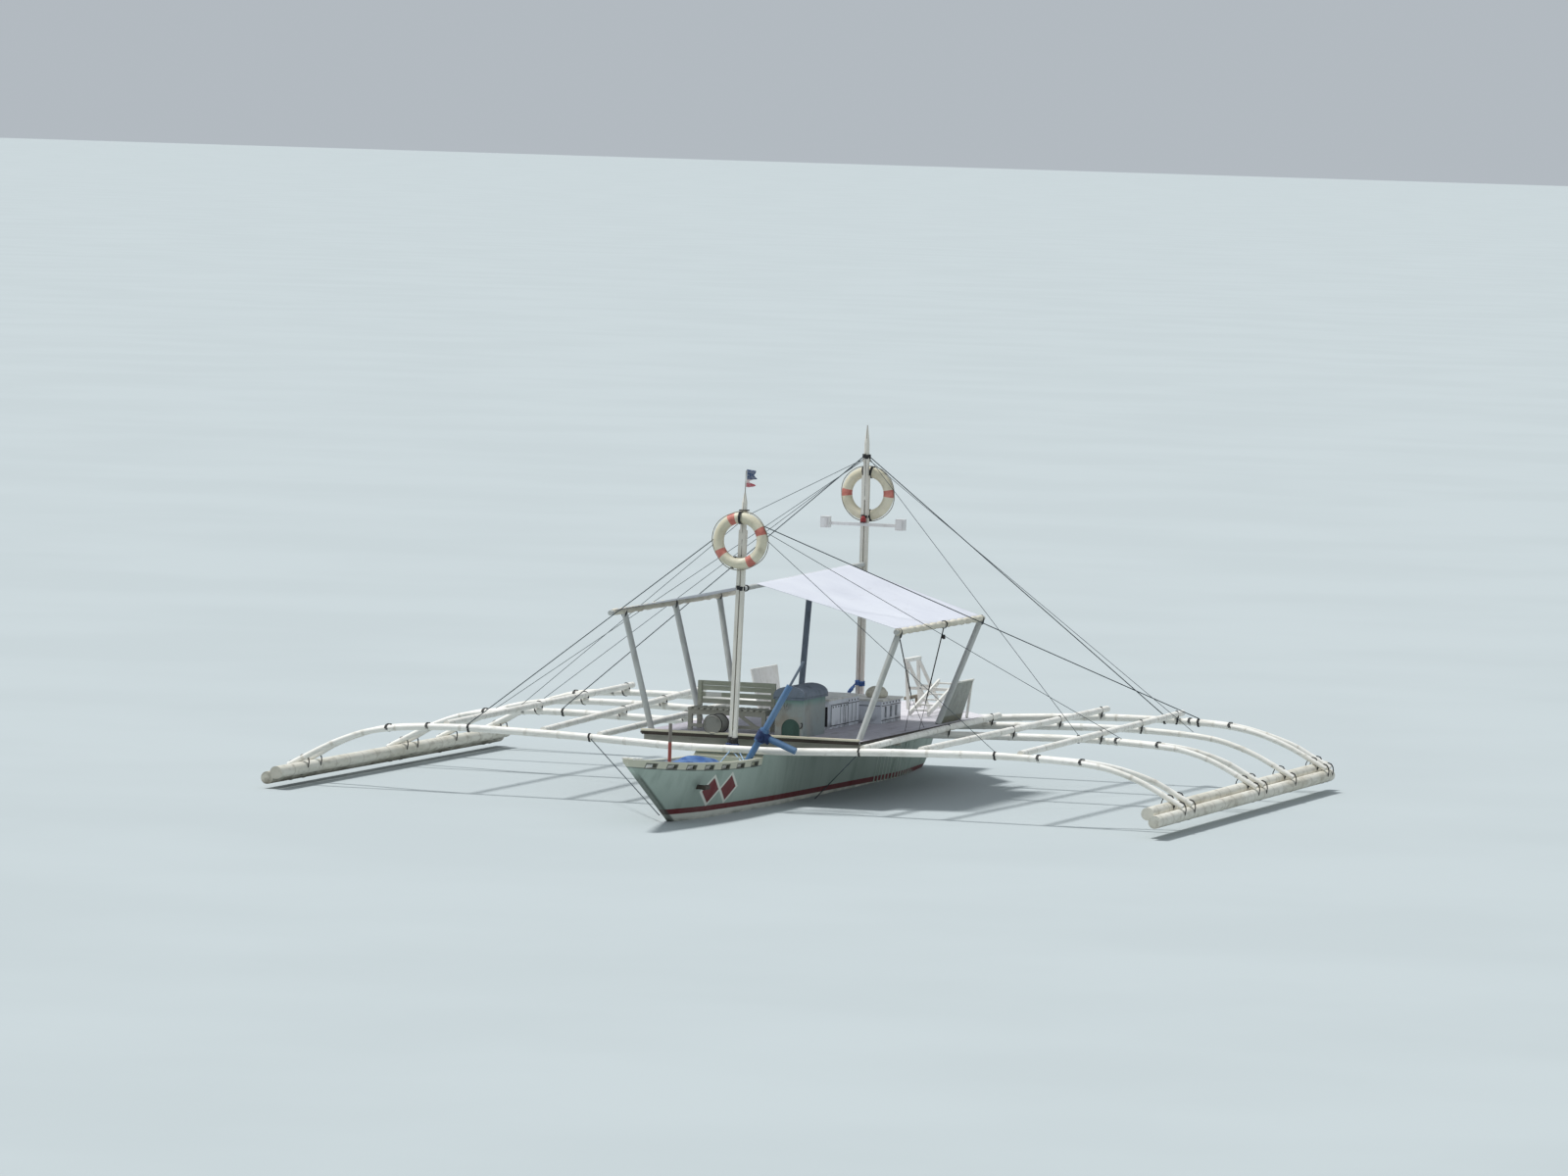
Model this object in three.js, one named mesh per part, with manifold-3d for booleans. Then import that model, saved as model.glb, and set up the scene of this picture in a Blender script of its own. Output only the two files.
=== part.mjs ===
// Outrigger canoe: a narrow hull with a pair of bamboo floats on each side, held by four bent
// booms, with a light deck, an engine hood, a peaked awning and two masts.
// Millimetres, +X to the bow, +Y to port, +Z up. The origin is on the waterline, on the
// centreline, midway between the ends of the outrigger frame.
import * as THREE from 'three';
import { mergeVertices } from 'three/addons/utils/BufferGeometryUtils.js';
import Module from 'manifold-3d';

const wasm = await Module();
wasm.setup();

// Clearances
const GAP = 0.3;

// Hull
const BOW_X = 7200;
const STERN_X = -4650;
const STEM_FOOT_X = 5542;
const STEM_SLOPE = 0.481;
const DRAFT = 330;
const HALF_BEAM = 430;
const HULL_DECK_Z = 665;
const STEP_X = 3400;
const FOREDECK_Z = 628;
const BOW_Z = 836;
const KEEL_RISE_X = -2200;
const KEEL_RISE_SLOPE = 0.132;
const BULWARK_THICKNESS = 38;
const WELL_DEPTH = 120;
const WELL_AFT_X = 3470;
const WELL_FORE_X = 6850;
const SCUPPER_COUNT = 7;
const SCUPPER_FIRST_X = 3640;
const SCUPPER_PITCH = 502;
const SCUPPER_LENGTH = 230;
const SCUPPER_HEIGHT = 45;

// Deck on its crossbeams
const DECK_BOTTOM_Z = 790;
const DECK_TOP_Z = 815;
const DECK_FORE_X = 2560;
const DECK_AFT_X = -2750;
const DECK_HALF = 1380;
const STERN_DECK_X = -3900;
const STERN_DECK_HALF = 620;
const CROSSBEAM_WIDTH = 65;
const CROSSBEAM_XS = [2470, 850, -1050, -2660];

// Booms, floats and rails
const BOOM_RADIUS = 46;
const BOOM_TIP_RADIUS = 34;
const DOUBLER_RADIUS = 34;
const FLOAT_RADIUS = 76;
const RAIL_RADIUS = 40;
const FLOAT_INNER = { y: 5425, z: 208 };
const FLOAT_OUTER = { y: 5568, z: 132 };
const FLOAT_ENDS = {
  port: { inner: [4270, -4200], outer: [4470, -3880] },
  starboard: { inner: [4265, -3950], outer: [4190, -4080] },
};
const PORT_RAISE = 77;
const OUTER_LASHING_LIFT = 1.2;
const CROWN_START_Y = 1300;
const CROWN_FULL_Y = 2500;
const CROWN_END_Y = 4900;
const BOOM_TIP_Y = 5610;
const LASHED_OVERLAP = 8;

// Masts
const MAST_DEPTH = 60;
const PLANK_WIDTH = 39;
const PLANK_SPACE = 16;
const FORE_MAST = { x: 3240, foot: HULL_DECK_Z + GAP, cap: 3520, spire: 3780, rod: 4030, rake: 0.0672 };
const AFT_MAST = { x: -1850, foot: DECK_TOP_Z + GAP, cap: 4010, spire: 4430, rod: 4440, rake: 0 };
const RING_RADIUS = 272;
const RING_TUBE = 66;

// Awning on its poles
const POLE_RADIUS = 30;
const POST_RADIUS = 38;
const RIDGE = { fore: new THREE.Vector3(3074, 0, 2608), aft: new THREE.Vector3(-1819, 0, 2700) };
const EAVE_PORT = { fore: new THREE.Vector3(2210, 1680, 2125), aft: new THREE.Vector3(-1500, 1680, 2120) };
const EAVE_STARBOARD = { fore: new THREE.Vector3(2972, -1680, 2240), aft: new THREE.Vector3(-1950, -1680, 2275) };
const SHEET_THICKNESS = 8;

const group = new THREE.Group();

// Materials, one for each finish
const finish = {
  hull: ['#e3e2da', 0.6, 0],
  deck: ['#b5b1b8', 0.8, 0],
  timber: ['#a8a59a', 0.85, 0],
  bamboo: ['#e8e4d8', 0.55, 0],
  float: ['#d8d4c6', 0.65, 0],
  mast: ['#c9c5b4', 0.7, 0],
  pole: ['#9fa3a3', 0.6, 0],
  sheet: ['#dfe1ea', 0.8, 0],
  ring: ['#cfc8b0', 0.55, 0],
  white: ['#e6e6e4', 0.6, 0],
  hood: ['#7c8d90', 0.6, 0],
  slate: ['#6b7480', 0.7, 0],
  panel: ['#8e97a1', 0.6, 0],
  bench: ['#8b8a7c', 0.75, 0],
  engine: ['#3f5a4a', 0.5, 0.4],
  metal: ['#a68a4c', 0.35, 0.9],
  steel: ['#70757a', 0.4, 0.8],
  light: ['#b03030', 0.35, 0],
  blue: ['#4f78a0', 0.5, 0],
  tarp: ['#2f5c97', 0.8, 0],
  red: ['#9b4a44', 0.7, 0],
  wire: ['#2a3a42', 0.5, 0.3],
};

function material(kind) {
  const [color, roughness, metalness] = finish[kind];
  return new THREE.MeshStandardMaterial({ color, roughness, metalness });
}

// A closed three.js geometry as a solid that can be joined and cut
function solid(geometry) {
  const plain = geometry.clone();
  plain.deleteAttribute('normal');
  plain.deleteAttribute('uv');
  const merged = mergeVertices(plain, 1e-3);
  const vertProperties = new Float32Array(merged.attributes.position.array);
  const triVerts = new Uint32Array(merged.index.array);
  return new wasm.Manifold(new wasm.Mesh({ numProp: 3, vertProperties, triVerts }));
}

function geometryOf(manifold) {
  const mesh = manifold.getMesh();
  const geometry = new THREE.BufferGeometry();
  geometry.setAttribute('position', new THREE.BufferAttribute(new Float32Array(mesh.vertProperties), 3));
  geometry.setIndex(new THREE.BufferAttribute(new Uint32Array(mesh.triVerts), 1));
  geometry.computeVertexNormals();
  return geometry;
}

function join(...parts) {
  return parts.reduce((sum, part) => sum.add(part));
}

function cut(body, ...tools) {
  return tools.reduce((rest, tool) => rest.subtract(tool), body);
}

function add(name, shape, kind) {
  const geometry = shape.isBufferGeometry ? shape : geometryOf(shape);
  const mesh = new THREE.Mesh(geometry, material(kind));
  mesh.name = name;
  group.add(mesh);
  return mesh;
}

// A block between its lowest and highest corners
function block(x0, x1, y0, y1, z0, z1) {
  const geometry = new THREE.BoxGeometry(x1 - x0, y1 - y0, z1 - z0);
  geometry.translate((x0 + x1) / 2, (y0 + y1) / 2, (z0 + z1) / 2);
  return solid(geometry);
}

function circle(radius) {
  const shape = new THREE.Shape();
  shape.absarc(0, 0, radius, 0, Math.PI * 2, false);
  return shape;
}

// A round bar along a curve, or straight between two points
function tube(curve, radius, steps, sides) {
  const geometry = new THREE.ExtrudeGeometry(circle(radius), {
    extrudePath: curve, steps, curveSegments: sides / 2, bevelEnabled: false,
  });
  return solid(geometry);
}

function rod(from, to, radius, sides = 12) {
  return tube(new THREE.LineCurve3(from, to), radius, 1, sides);
}

// A round hole that a bar of the given radius turns in, its flats clear of the bar
function bore(from, to, radius) {
  const sides = 24;
  return rod(from, to, (radius + GAP) / Math.cos(Math.PI / sides), sides);
}

// A flat bar of rectangular section between two points, its width across the given direction
function bar(from, to, width, thickness, across) {
  const along = new THREE.Vector3().subVectors(to, from);
  const length = along.length();
  const zAxis = along.normalize();
  const yAxis = new THREE.Vector3().crossVectors(zAxis, across).normalize();
  const xAxis = new THREE.Vector3().crossVectors(yAxis, zAxis);
  const geometry = new THREE.BoxGeometry(width, thickness, length);
  geometry.translate(0, 0, length / 2);
  geometry.applyMatrix4(new THREE.Matrix4().makeBasis(xAxis, yAxis, zAxis).setPosition(from));
  return solid(geometry);
}

// A turned shape from its radius and height profile, its axis up from the given point
function turned(profile, centre, sides = 24) {
  const points = profile.map(([radius, height]) => new THREE.Vector2(radius, height));
  const geometry = new THREE.LatheGeometry(points, sides);
  geometry.rotateX(Math.PI / 2);
  geometry.translate(centre.x, centre.y, centre.z);
  return solid(geometry);
}

const V = (x, y, z) => new THREE.Vector3(x, y, z);
const mix = THREE.MathUtils.lerp;
const ease = THREE.MathUtils.smoothstep;

// Closed skin through rings of points that all have the same count; convex ends close as fans
function loft(rings, convexEnds = false) {
  const count = rings[0].length;
  const positions = rings.flat().flatMap((p) => [p.x, p.y, p.z]);
  const index = [];
  for (let r = 0; r + 1 < rings.length; r++) {
    for (let k = 0; k < count; k++) {
      const next = (k + 1) % count;
      const a = r * count + k;
      const b = r * count + next;
      const c = (r + 1) * count + next;
      const d = (r + 1) * count + k;
      index.push(a, b, c, a, c, d);
    }
  }
  const last = (rings.length - 1) * count;
  const fan = (ring) => ring.slice(2).map((_, k) => [0, k + 1, k + 2]);
  const across = (ring) => THREE.ShapeUtils.triangulateShape(ring.map((p) => new THREE.Vector2(p.y, p.z)), []);
  const faces = convexEnds ? fan : across;
  faces(rings[0]).forEach(([a, b, c]) => index.push(a, c, b));
  faces(rings.at(-1)).forEach(([a, b, c]) => index.push(last + a, last + b, last + c));
  const geometry = new THREE.BufferGeometry();
  geometry.setAttribute('position', new THREE.BufferAttribute(new Float32Array(positions), 3));
  geometry.setIndex(index);
  const made = solid(geometry);
  return made.volume() > 0 ? made : solid(flipped(geometry));
}

function flipped(geometry) {
  const index = geometry.index.array;
  for (let k = 0; k < index.length; k += 3) {
    [index[k], index[k + 1]] = [index[k + 1], index[k]];
  }
  return geometry;
}

// Hull lines
function hullTop(x) {
  if (x <= STEP_X - 70) return HULL_DECK_Z;
  if (x < STEP_X) return mix(HULL_DECK_Z, FOREDECK_Z, (x - STEP_X + 70) / 70);
  return FOREDECK_Z + (BOW_Z - FOREDECK_Z) * ((x - STEP_X) / (BOW_X - STEP_X)) ** 1.8;
}

function hullKeel(x) {
  const stem = (x - STEM_FOOT_X) * STEM_SLOPE;
  const rise = (KEEL_RISE_X - x) * KEEL_RISE_SLOPE - DRAFT;
  const transom = (STERN_X + 330 - x) * 1.9 - 50;
  return Math.max(-DRAFT, stem, rise, transom);
}

function hullHalf(x) {
  const fore = Math.max(0, (x - 3300) / (BOW_X - 3300));
  const aft = Math.max(0, (-2300 - x) / (-2300 - STERN_X));
  return 35 + (HALF_BEAM - 35) * (1 - fore ** 2.4) * (1 - 0.42 * aft ** 1.8);
}

function hullFullness(x) {
  return 0.27 + 0.55 * ease(x, 2200, 5600) + 0.25 * ease(-x, 2300, -STERN_X);
}

// Half breadth of the hull at a height
function hullSide(x, z) {
  const share = THREE.MathUtils.clamp((z - hullKeel(x)) / (hullTop(x) - hullKeel(x)), 0, 1);
  return 30 + (hullHalf(x) - 30) * share ** hullFullness(x);
}

// Floor of the foredeck well, straight between its stations
const WELL_XS = [WELL_AFT_X, 3800, 4200, 4700, 5200, 5700, 6200, 6550, WELL_FORE_X];
function wellFloor(x) {
  const k = WELL_XS.findLastIndex((station) => station <= x);
  const [aft, fore] = [WELL_XS[k], WELL_XS[k + 1]];
  return mix(hullTop(aft), hullTop(fore), (x - aft) / (fore - aft)) - WELL_DEPTH;
}

function hullRing(x) {
  const shares = [0, 0.06, 0.16, 0.34, 0.58, 0.8, 1];
  const keel = hullKeel(x);
  const port = shares.map((share) => {
    const z = mix(keel, hullTop(x), share);
    return V(x, hullSide(x, z), z);
  });
  const starboard = port.map((p) => V(p.x, -p.y, p.z)).reverse();
  return [...port, ...starboard];
}

function makeHull() {
  const stations = [STERN_X, -4560, -4450, -4320, -4000, -3500, -3000, -2500, KEEL_RISE_X, -1000, 500, 1800, 2700,
    STEP_X - 70, STEP_X, 3800, 4200, 4600, 4860, 5150, 5542, 5900, 6250, 6550, 6800, 7000, 7120, BOW_X];
  const shell = loft(stations.map(hullRing));
  const well = loft(WELL_XS.map((x) => {
    const floor = hullTop(x) - WELL_DEPTH;
    const low = Math.max(12, hullSide(x, floor) - BULWARK_THICKNESS);
    const high = Math.max(14, hullSide(x, hullTop(x)) - BULWARK_THICKNESS);
    const over = hullTop(x) + 80;
    return [V(x, -low, floor), V(x, low, floor), V(x, high, over), V(x, -high, over)];
  }));
  const scuppers = Array.from({ length: SCUPPER_COUNT }, (_, k) => {
    const x = SCUPPER_FIRST_X + k * SCUPPER_PITCH;
    const z = hullTop(x) - 36;
    const reach = hullHalf(x) + 50;
    return block(x - SCUPPER_LENGTH / 2, x + SCUPPER_LENGTH / 2, -reach, reach, z - SCUPPER_HEIGHT, z);
  });
  const stockHole = bore(V(RUDDER.x, 0, -400), V(RUDDER.x, 0, 900), RUDDER.stock);
  const shaftHole = bore(V(PROPELLER.aft, 0, PROPELLER.z), V(PROPELLER.fore + 5, 0, PROPELLER.z), PROPELLER.shaft);
  add('hull', cut(shell, well, ...scuppers, stockHole, shaftHole), 'hull');
}

// Deck boards in one sheet, with the stern platform
function makeDeck() {
  const outline = [[DECK_FORE_X, -DECK_HALF], [DECK_FORE_X, DECK_HALF], [DECK_AFT_X, DECK_HALF],
    [STERN_DECK_X, STERN_DECK_HALF], [STERN_X, STERN_DECK_HALF - 60], [STERN_X, 60 - STERN_DECK_HALF],
    [STERN_DECK_X, -STERN_DECK_HALF], [DECK_AFT_X, -DECK_HALF]];
  const shape = new THREE.Shape(outline.map(([x, y]) => new THREE.Vector2(x, y)));
  const geometry = new THREE.ExtrudeGeometry(shape, {
    depth: DECK_TOP_Z - DECK_BOTTOM_Z, bevelEnabled: false,
  });
  geometry.translate(0, 0, DECK_BOTTOM_Z);
  const stockHole = bore(V(RUDDER.x, 0, 700), V(RUDDER.x, 0, 900), RUDDER.stock);
  add('deck', cut(solid(geometry), stockHole), 'deck');
}

function makeCrossbeams() {
  CROSSBEAM_XS.forEach((x, k) => {
    const half = DECK_HALF - 15;
    const w = CROSSBEAM_WIDTH / 2;
    add(`crossbeam_${k + 1}`, block(x - w, x + w, -half, half, HULL_DECK_Z + GAP, DECK_BOTTOM_Z - GAP), 'timber');
  });
  const w = CROSSBEAM_WIDTH / 2;
  const half = STERN_DECK_HALF - 90;
  add('crossbeam_5', block(-4520 - w, -4520 + w, -half, half, HULL_DECK_Z + GAP, DECK_BOTTOM_Z - GAP), 'timber');
}

// Booms: x is the station and lift raises the crown. The port floats ride higher. A second tube is
// lashed to the aft side of three booms, and its tip stands aft of the boom's tip by the splay
const BOOMS = [
  { name: 'boom_1', x: 3370, lift: 0, splay: 430 },
  { name: 'boom_2', x: -80, lift: -12, splay: 370 },
  { name: 'boom_3', x: -1880, lift: 8, splay: 0 },
  { name: 'boom_4', x: -3530, lift: 26, splay: 230 },
];

// The outer end lies along the line over the tops of both float tubes
const floatSlope = Math.atan2(FLOAT_INNER.z - FLOAT_OUTER.z, FLOAT_OUTER.y - FLOAT_INNER.y);
function overFloats(y) {
  const seat = FLOAT_RADIUS + BOOM_TIP_RADIUS + GAP;
  const y0 = FLOAT_INNER.y + seat * Math.sin(floatSlope);
  const z0 = FLOAT_INNER.z + seat * Math.cos(floatSlope);
  return z0 - (y - y0) * Math.tan(floatSlope);
}

function boomLine(boom) {
  const seat = HULL_DECK_Z + GAP + 0.5 + BOOM_RADIUS;
  const crown = (y) => boom.lift * (ease(y, CROWN_START_Y, CROWN_FULL_Y) - ease(y, 4200, CROWN_END_Y));
  const profile = [[440, seat], [700, seat + 4], [1250, 737], [1887, 765], [2600, 785], [3300, 797], [3800, 786],
    [4280, 748], [4640, 680], [4930, 578], [5150, 478]].map(([y, z]) => [y, z + crown(y)]);
  profile.push([5360, overFloats(5360)], [5480, overFloats(5480)], [BOOM_TIP_Y, overFloats(BOOM_TIP_Y)]);
  const port = profile.map(([y, z]) => V(boom.x, y, z + PORT_RAISE * ease(y, 3900, 5360)));
  const starboard = profile.map(([y, z]) => V(boom.x, -y, z)).reverse();
  return new THREE.CatmullRomCurve3([...starboard, V(boom.x, 0, seat), ...port]);
}

// The boom is thickest over the hull and slim at its tips
function boomRadius(y) {
  return mix(BOOM_RADIUS, BOOM_TIP_RADIUS, ease(Math.abs(y), 2400, 5200));
}

function boomHeight(boom, y) {
  const points = boomLine(boom).getSpacedPoints(600);
  const near = points.reduce((best, p) => (Math.abs(p.y - y) < Math.abs(best.y - y) ? p : best));
  return near.z;
}

// The second tube starts against the aft side of the boom's crown and runs out to its own place
// on the floats
function doublerLine(boom, side) {
  const start = boomRadius(4000) + DOUBLER_RADIUS - LASHED_OVERLAP;
  const points = [3760, 3950, 4200, 4480, 4750, 5000, 5180].map((y) => {
    const x = boom.x - mix(start, boom.splay, ease(y, 3850, 5500));
    return V(x, side * y, boomHeight(boom, side * y) + 4);
  });
  const raise = side > 0 ? PORT_RAISE : 0;
  for (const y of [5360, 5480, BOOM_TIP_Y]) {
    points.push(V(boom.x - boom.splay, side * y, overFloats(y) + raise));
  }
  return new THREE.CatmullRomCurve3(points);
}

// A round pole along a curve, with the radius that its flats keep at each point
function pole(curve, radiusAt, steps, sides) {
  const toCorner = 1 / Math.cos(Math.PI / sides);
  const rings = Array.from({ length: steps + 1 }, (_, k) => {
    const share = k / steps;
    const centre = curve.getPointAt(share);
    const tangent = curve.getTangentAt(share);
    const side = Math.abs(tangent.x) > 0.7 ? V(0, 1, 0) : V(1, 0, 0);
    const level = side.clone().addScaledVector(tangent, -tangent.dot(side)).normalize();
    const upward = new THREE.Vector3().crossVectors(tangent, level);
    return Array.from({ length: sides }, (_, j) => {
      const angle = ((j + 0.5) / sides) * Math.PI * 2;
      const reach = level.clone().multiplyScalar(Math.cos(angle)).addScaledVector(upward, Math.sin(angle));
      return centre.clone().addScaledVector(reach, radiusAt(centre) * toCorner);
    });
  });
  return loft(rings, true);
}

function makeBooms() {
  for (const boom of BOOMS) {
    let shape = pole(boomLine(boom), (centre) => boomRadius(centre.y), 52, 8);
    if (boom.splay) {
      const doublers = [1, -1].map((side) => pole(doublerLine(boom, side), () => DOUBLER_RADIUS, 18, 8));
      shape = join(shape, ...doublers);
    }
    add(boom.name, shape, 'bamboo');
  }
}

function makeFloats() {
  for (const [side, word] of [[1, 'port'], [-1, 'starboard']]) {
    for (const [place, line, lift] of [['inner', FLOAT_INNER, 0], ['outer', FLOAT_OUTER, OUTER_LASHING_LIFT]]) {
      const [fore, aft] = FLOAT_ENDS[word][place];
      const z = line.z + lift + (side > 0 ? PORT_RAISE : 0);
      const from = V(aft, side * line.y, z);
      const to = V(fore, side * line.y, z);
      add(`float_${word}_${place}`, rod(from, to, FLOAT_RADIUS, 24), 'float');
    }
  }
}

// Rails butt on the aft face of boom 1 and lie on the booms behind it
const RAILS = [
  { name: 'rail_inner', foreY: 1650, aftY: 1720, aftX: -2200, foreZ: 795 },
  { name: 'rail_middle', foreY: 2370, aftY: 2680, aftX: -3800, foreZ: 815 },
  { name: 'rail_outer', foreY: 3600, aftY: 3660, aftX: -3800, foreZ: 832 },
];

function makeRails() {
  for (const rail of RAILS) {
    const foreX = BOOMS[0].x - boomRadius(rail.foreY) - GAP;
    const share = (x) => (foreX - x) / (foreX - rail.aftX);
    const yAt = (x) => mix(rail.foreY, rail.aftY, share(x));
    const slopes = BOOMS.slice(1).filter((b) => b.x > rail.aftX).map((boom) => {
      const y = yAt(boom.x);
      const top = boomHeight(boom, y) + boomRadius(y) + RAIL_RADIUS + GAP;
      return (top - rail.foreZ) / share(boom.x);
    });
    const aftZ = rail.foreZ + Math.max(...slopes) + 1.6;
    for (const [side, word] of [[1, 'port'], [-1, 'starboard']]) {
      const from = V(foreX, side * rail.foreY, rail.foreZ);
      const to = V(rail.aftX, side * rail.aftY, aftZ);
      const line = new THREE.LineCurve3(from.clone().lerp(to, -0.02), to);
      const beyond = block(foreX, foreX + 400, -6000, 6000, 400, 1200);
      add(`${rail.name}_${word}`, cut(pole(line, () => RAIL_RADIUS, 1, 8), beyond), 'bamboo');
    }
  }
}

// A mast of two planks with a slot between them, a cap block, a tapered spire and a thin rod
function mastShape(mast) {
  const depth = MAST_DEPTH / 2;
  const inner = PLANK_SPACE / 2;
  const outer = inner + PLANK_WIDTH;
  const low = mast.foot - 40;
  const slot = block(-depth - 5, depth + 5, -inner, inner, mast.foot + 260, mast.cap - 500);
  const planks = cut(block(-depth, depth, -outer, outer, low, mast.cap - 200), slot);
  const neck = block(-depth, depth, -30, 30, mast.cap - 201, mast.cap);
  const cap = block(-38, 38, -42, 42, mast.cap - 30, mast.cap + 20);
  const height = mast.spire - mast.cap;
  const spire = turned([[0, 0], [36, 0], [33, 0.5 * height], [7, height], [0, height]], V(0, 0, mast.cap), 10);
  const tip = rod(V(0, 0, mast.spire - 30), V(0, 0, mast.rod), 6, 8);
  const upright = join(planks, neck, cap, spire, tip);
  const lean = upright.translate([0, 0, -mast.foot]).rotate([0, THREE.MathUtils.radToDeg(-mast.rake), 0]);
  const placed = lean.translate([mast.x, 0, mast.foot]);
  return cut(placed, block(mast.x - 300, mast.x + 300, -300, 300, mast.foot - 200, mast.foot));
}

function mastFace(mast, z) {
  return mast.x - Math.tan(mast.rake) * (z - mast.foot);
}

function makeMasts() {
  add('fore_mast', mastShape(FORE_MAST), 'mast');
  add('aft_mast', mastShape(AFT_MAST), 'mast');
}

// A life ring on the fore side (1) or the aft side (-1) of a mast
function ringShape(mast, z, side) {
  const section = Array.from({ length: 13 }, (_, k) => {
    const angle = (k / 12) * Math.PI * 2;
    return new THREE.Vector2(RING_RADIUS + RING_TUBE * Math.cos(angle), RING_TUBE * Math.sin(angle));
  });
  const geometry = new THREE.LatheGeometry(section, 32);
  geometry.rotateZ(Math.PI / 2);
  geometry.rotateY(-mast.rake);
  const away = MAST_DEPTH / 2 / Math.cos(mast.rake) + RING_TUBE + 2 * GAP;
  geometry.translate(mastFace(mast, z) + side * away, 0, z);
  return solid(geometry);
}

function makeRings() {
  add('fore_life_ring', ringShape(FORE_MAST, 3190, 1), 'ring');
  add('aft_life_ring', ringShape(AFT_MAST, 3580, -1), 'ring');
}

// Spreader with a box lamp at each end, on the fore face of the aft mast
const SPREADER = { z: 3200, half: 440, thickness: 40, lamp: 110 };
function makeSpreader() {
  const x = AFT_MAST.x + MAST_DEPTH / 2 + GAP;
  const { z, half, thickness, lamp } = SPREADER;
  const beam = block(x, x + thickness, -half, half, z - 20, z + 20);
  const lamps = [1, -1].map((side) => {
    const y = side * (half + lamp / 2 - 5);
    return block(x - 20, x + lamp - 20, y - lamp / 2, y + lamp / 2, z - 55, z + 85);
  });
  add('spreader', join(beam, ...lamps), 'white');
  const foot = z + 20 + GAP;
  const dome = [[0, 0], [38, 0], [38, 30], [33, 62], [18, 82], [0, 88]];
  add('mast_light', turned(dome, V(x + thickness / 2 + 20, 0, foot), 16), 'light');
}

// Poles that carry the awning
function makePoles() {
  add('ridge_pole', rod(RIDGE.fore, RIDGE.aft, POLE_RADIUS), 'pole');
  add('eave_pole_port', rod(EAVE_PORT.fore, EAVE_PORT.aft, POLE_RADIUS), 'pole');
  add('eave_pole_starboard', rod(EAVE_STARBOARD.fore, EAVE_STARBOARD.aft, POLE_RADIUS), 'pole');
}

function along(line, x) {
  return line.fore.clone().lerp(line.aft, (line.fore.x - x) / (line.fore.x - line.aft.x));
}

const POSTS = [
  { name: 'post_port_1', line: EAVE_PORT, x: 2060, footX: 2350 },
  { name: 'post_port_2', line: EAVE_PORT, x: -1420, footX: -930 },
  { name: 'post_starboard_1', line: EAVE_STARBOARD, x: 2450, footX: 2400 },
  { name: 'post_starboard_2', line: EAVE_STARBOARD, x: 520, footX: 520 },
  { name: 'post_starboard_3', line: EAVE_STARBOARD, x: -1220, footX: -900 },
];

// Each post leans outward from the deck's edge up to the pole that lies in its notched top
function makePosts() {
  for (const post of POSTS) {
    const top = along(post.line, post.x);
    const side = Math.sign(top.y);
    const foot = V(post.footX, side * (DECK_HALF - 75), DECK_TOP_Z);
    const whole = rod(foot.clone().lerp(top, -0.05), top, POST_RADIUS, 10);
    const below = block(foot.x - 400, foot.x + 400, foot.y - 400, foot.y + 400, 400, DECK_TOP_Z + GAP);
    const eave = rod(post.line.fore, post.line.aft, POLE_RADIUS + GAP);
    const above = block(top.x - 200, top.x + 200, top.y - 200, top.y + 200, top.z, top.z + 200);
    add(post.name, cut(whole, below, eave, above), 'pole');
  }
  const top = along(RIDGE, 306);
  const foot = V(600, 0, CASING.top + ROOF_THICKNESS);
  const ridge = rod(RIDGE.fore, RIDGE.aft, POLE_RADIUS + GAP);
  const above = block(100, 500, -200, 200, top.z, top.z + 200);
  const below = block(300, 900, -200, 200, foot.z - 200, foot.z + GAP);
  add('post_centre', cut(rod(foot.clone().lerp(top, -0.05), top, POST_RADIUS, 10), ridge, above, below), 'slate');
}

// The awning is one thin sheet over the ridge pole and both eave poles
function makeAwning() {
  const xs = [0, 0.25, 0.5, 0.75, 1];
  const corners = {
    starboard: [along(EAVE_STARBOARD, 2880), along(EAVE_STARBOARD, -1880)],
    ridge: [along(RIDGE, 2500), along(RIDGE, -1250)],
    port: [along(EAVE_PORT, 2120), along(EAVE_PORT, -1420)],
  };
  const lift = POLE_RADIUS + GAP + 1;
  const line = (pair, t) => pair[0].clone().lerp(pair[1], t).add(V(0, 0, lift));
  const rings = xs.map((t) => {
    const left = line(corners.starboard, t);
    const mid = line(corners.ridge, t);
    const right = line(corners.port, t);
    const under = [left, left.clone().lerp(mid, 0.5), mid, mid.clone().lerp(right, 0.5), right];
    const over = under.map((p) => p.clone().add(V(0, 0, SHEET_THICKNESS))).reverse();
    return [...under, ...over];
  });
  add('awning', loftAcross(rings), 'sheet');
}

// As loft, for rings that aren't flat in x: both ends are closed strip by strip
function loftAcross(rings) {
  const count = rings[0].length;
  const positions = rings.flat().flatMap((p) => [p.x, p.y, p.z]);
  const index = [];
  const quad = (a, b, c, d) => index.push(a, b, c, a, c, d);
  for (let r = 0; r + 1 < rings.length; r++) {
    for (let k = 0; k < count; k++) {
      const next = (k + 1) % count;
      quad(r * count + k, r * count + next, (r + 1) * count + next, (r + 1) * count + k);
    }
  }
  const last = (rings.length - 1) * count;
  for (let k = 0; k + 1 < count / 2; k++) {
    const far = count - 1 - k;
    quad(k, far, far - 1, k + 1);
    quad(last + k, last + k + 1, last + far - 1, last + far);
  }
  const geometry = new THREE.BufferGeometry();
  geometry.setAttribute('position', new THREE.BufferAttribute(new Float32Array(positions), 3));
  geometry.setIndex(index);
  const made = solid(geometry);
  return made.volume() > 0 ? made : solid(flipped(geometry));
}

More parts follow.
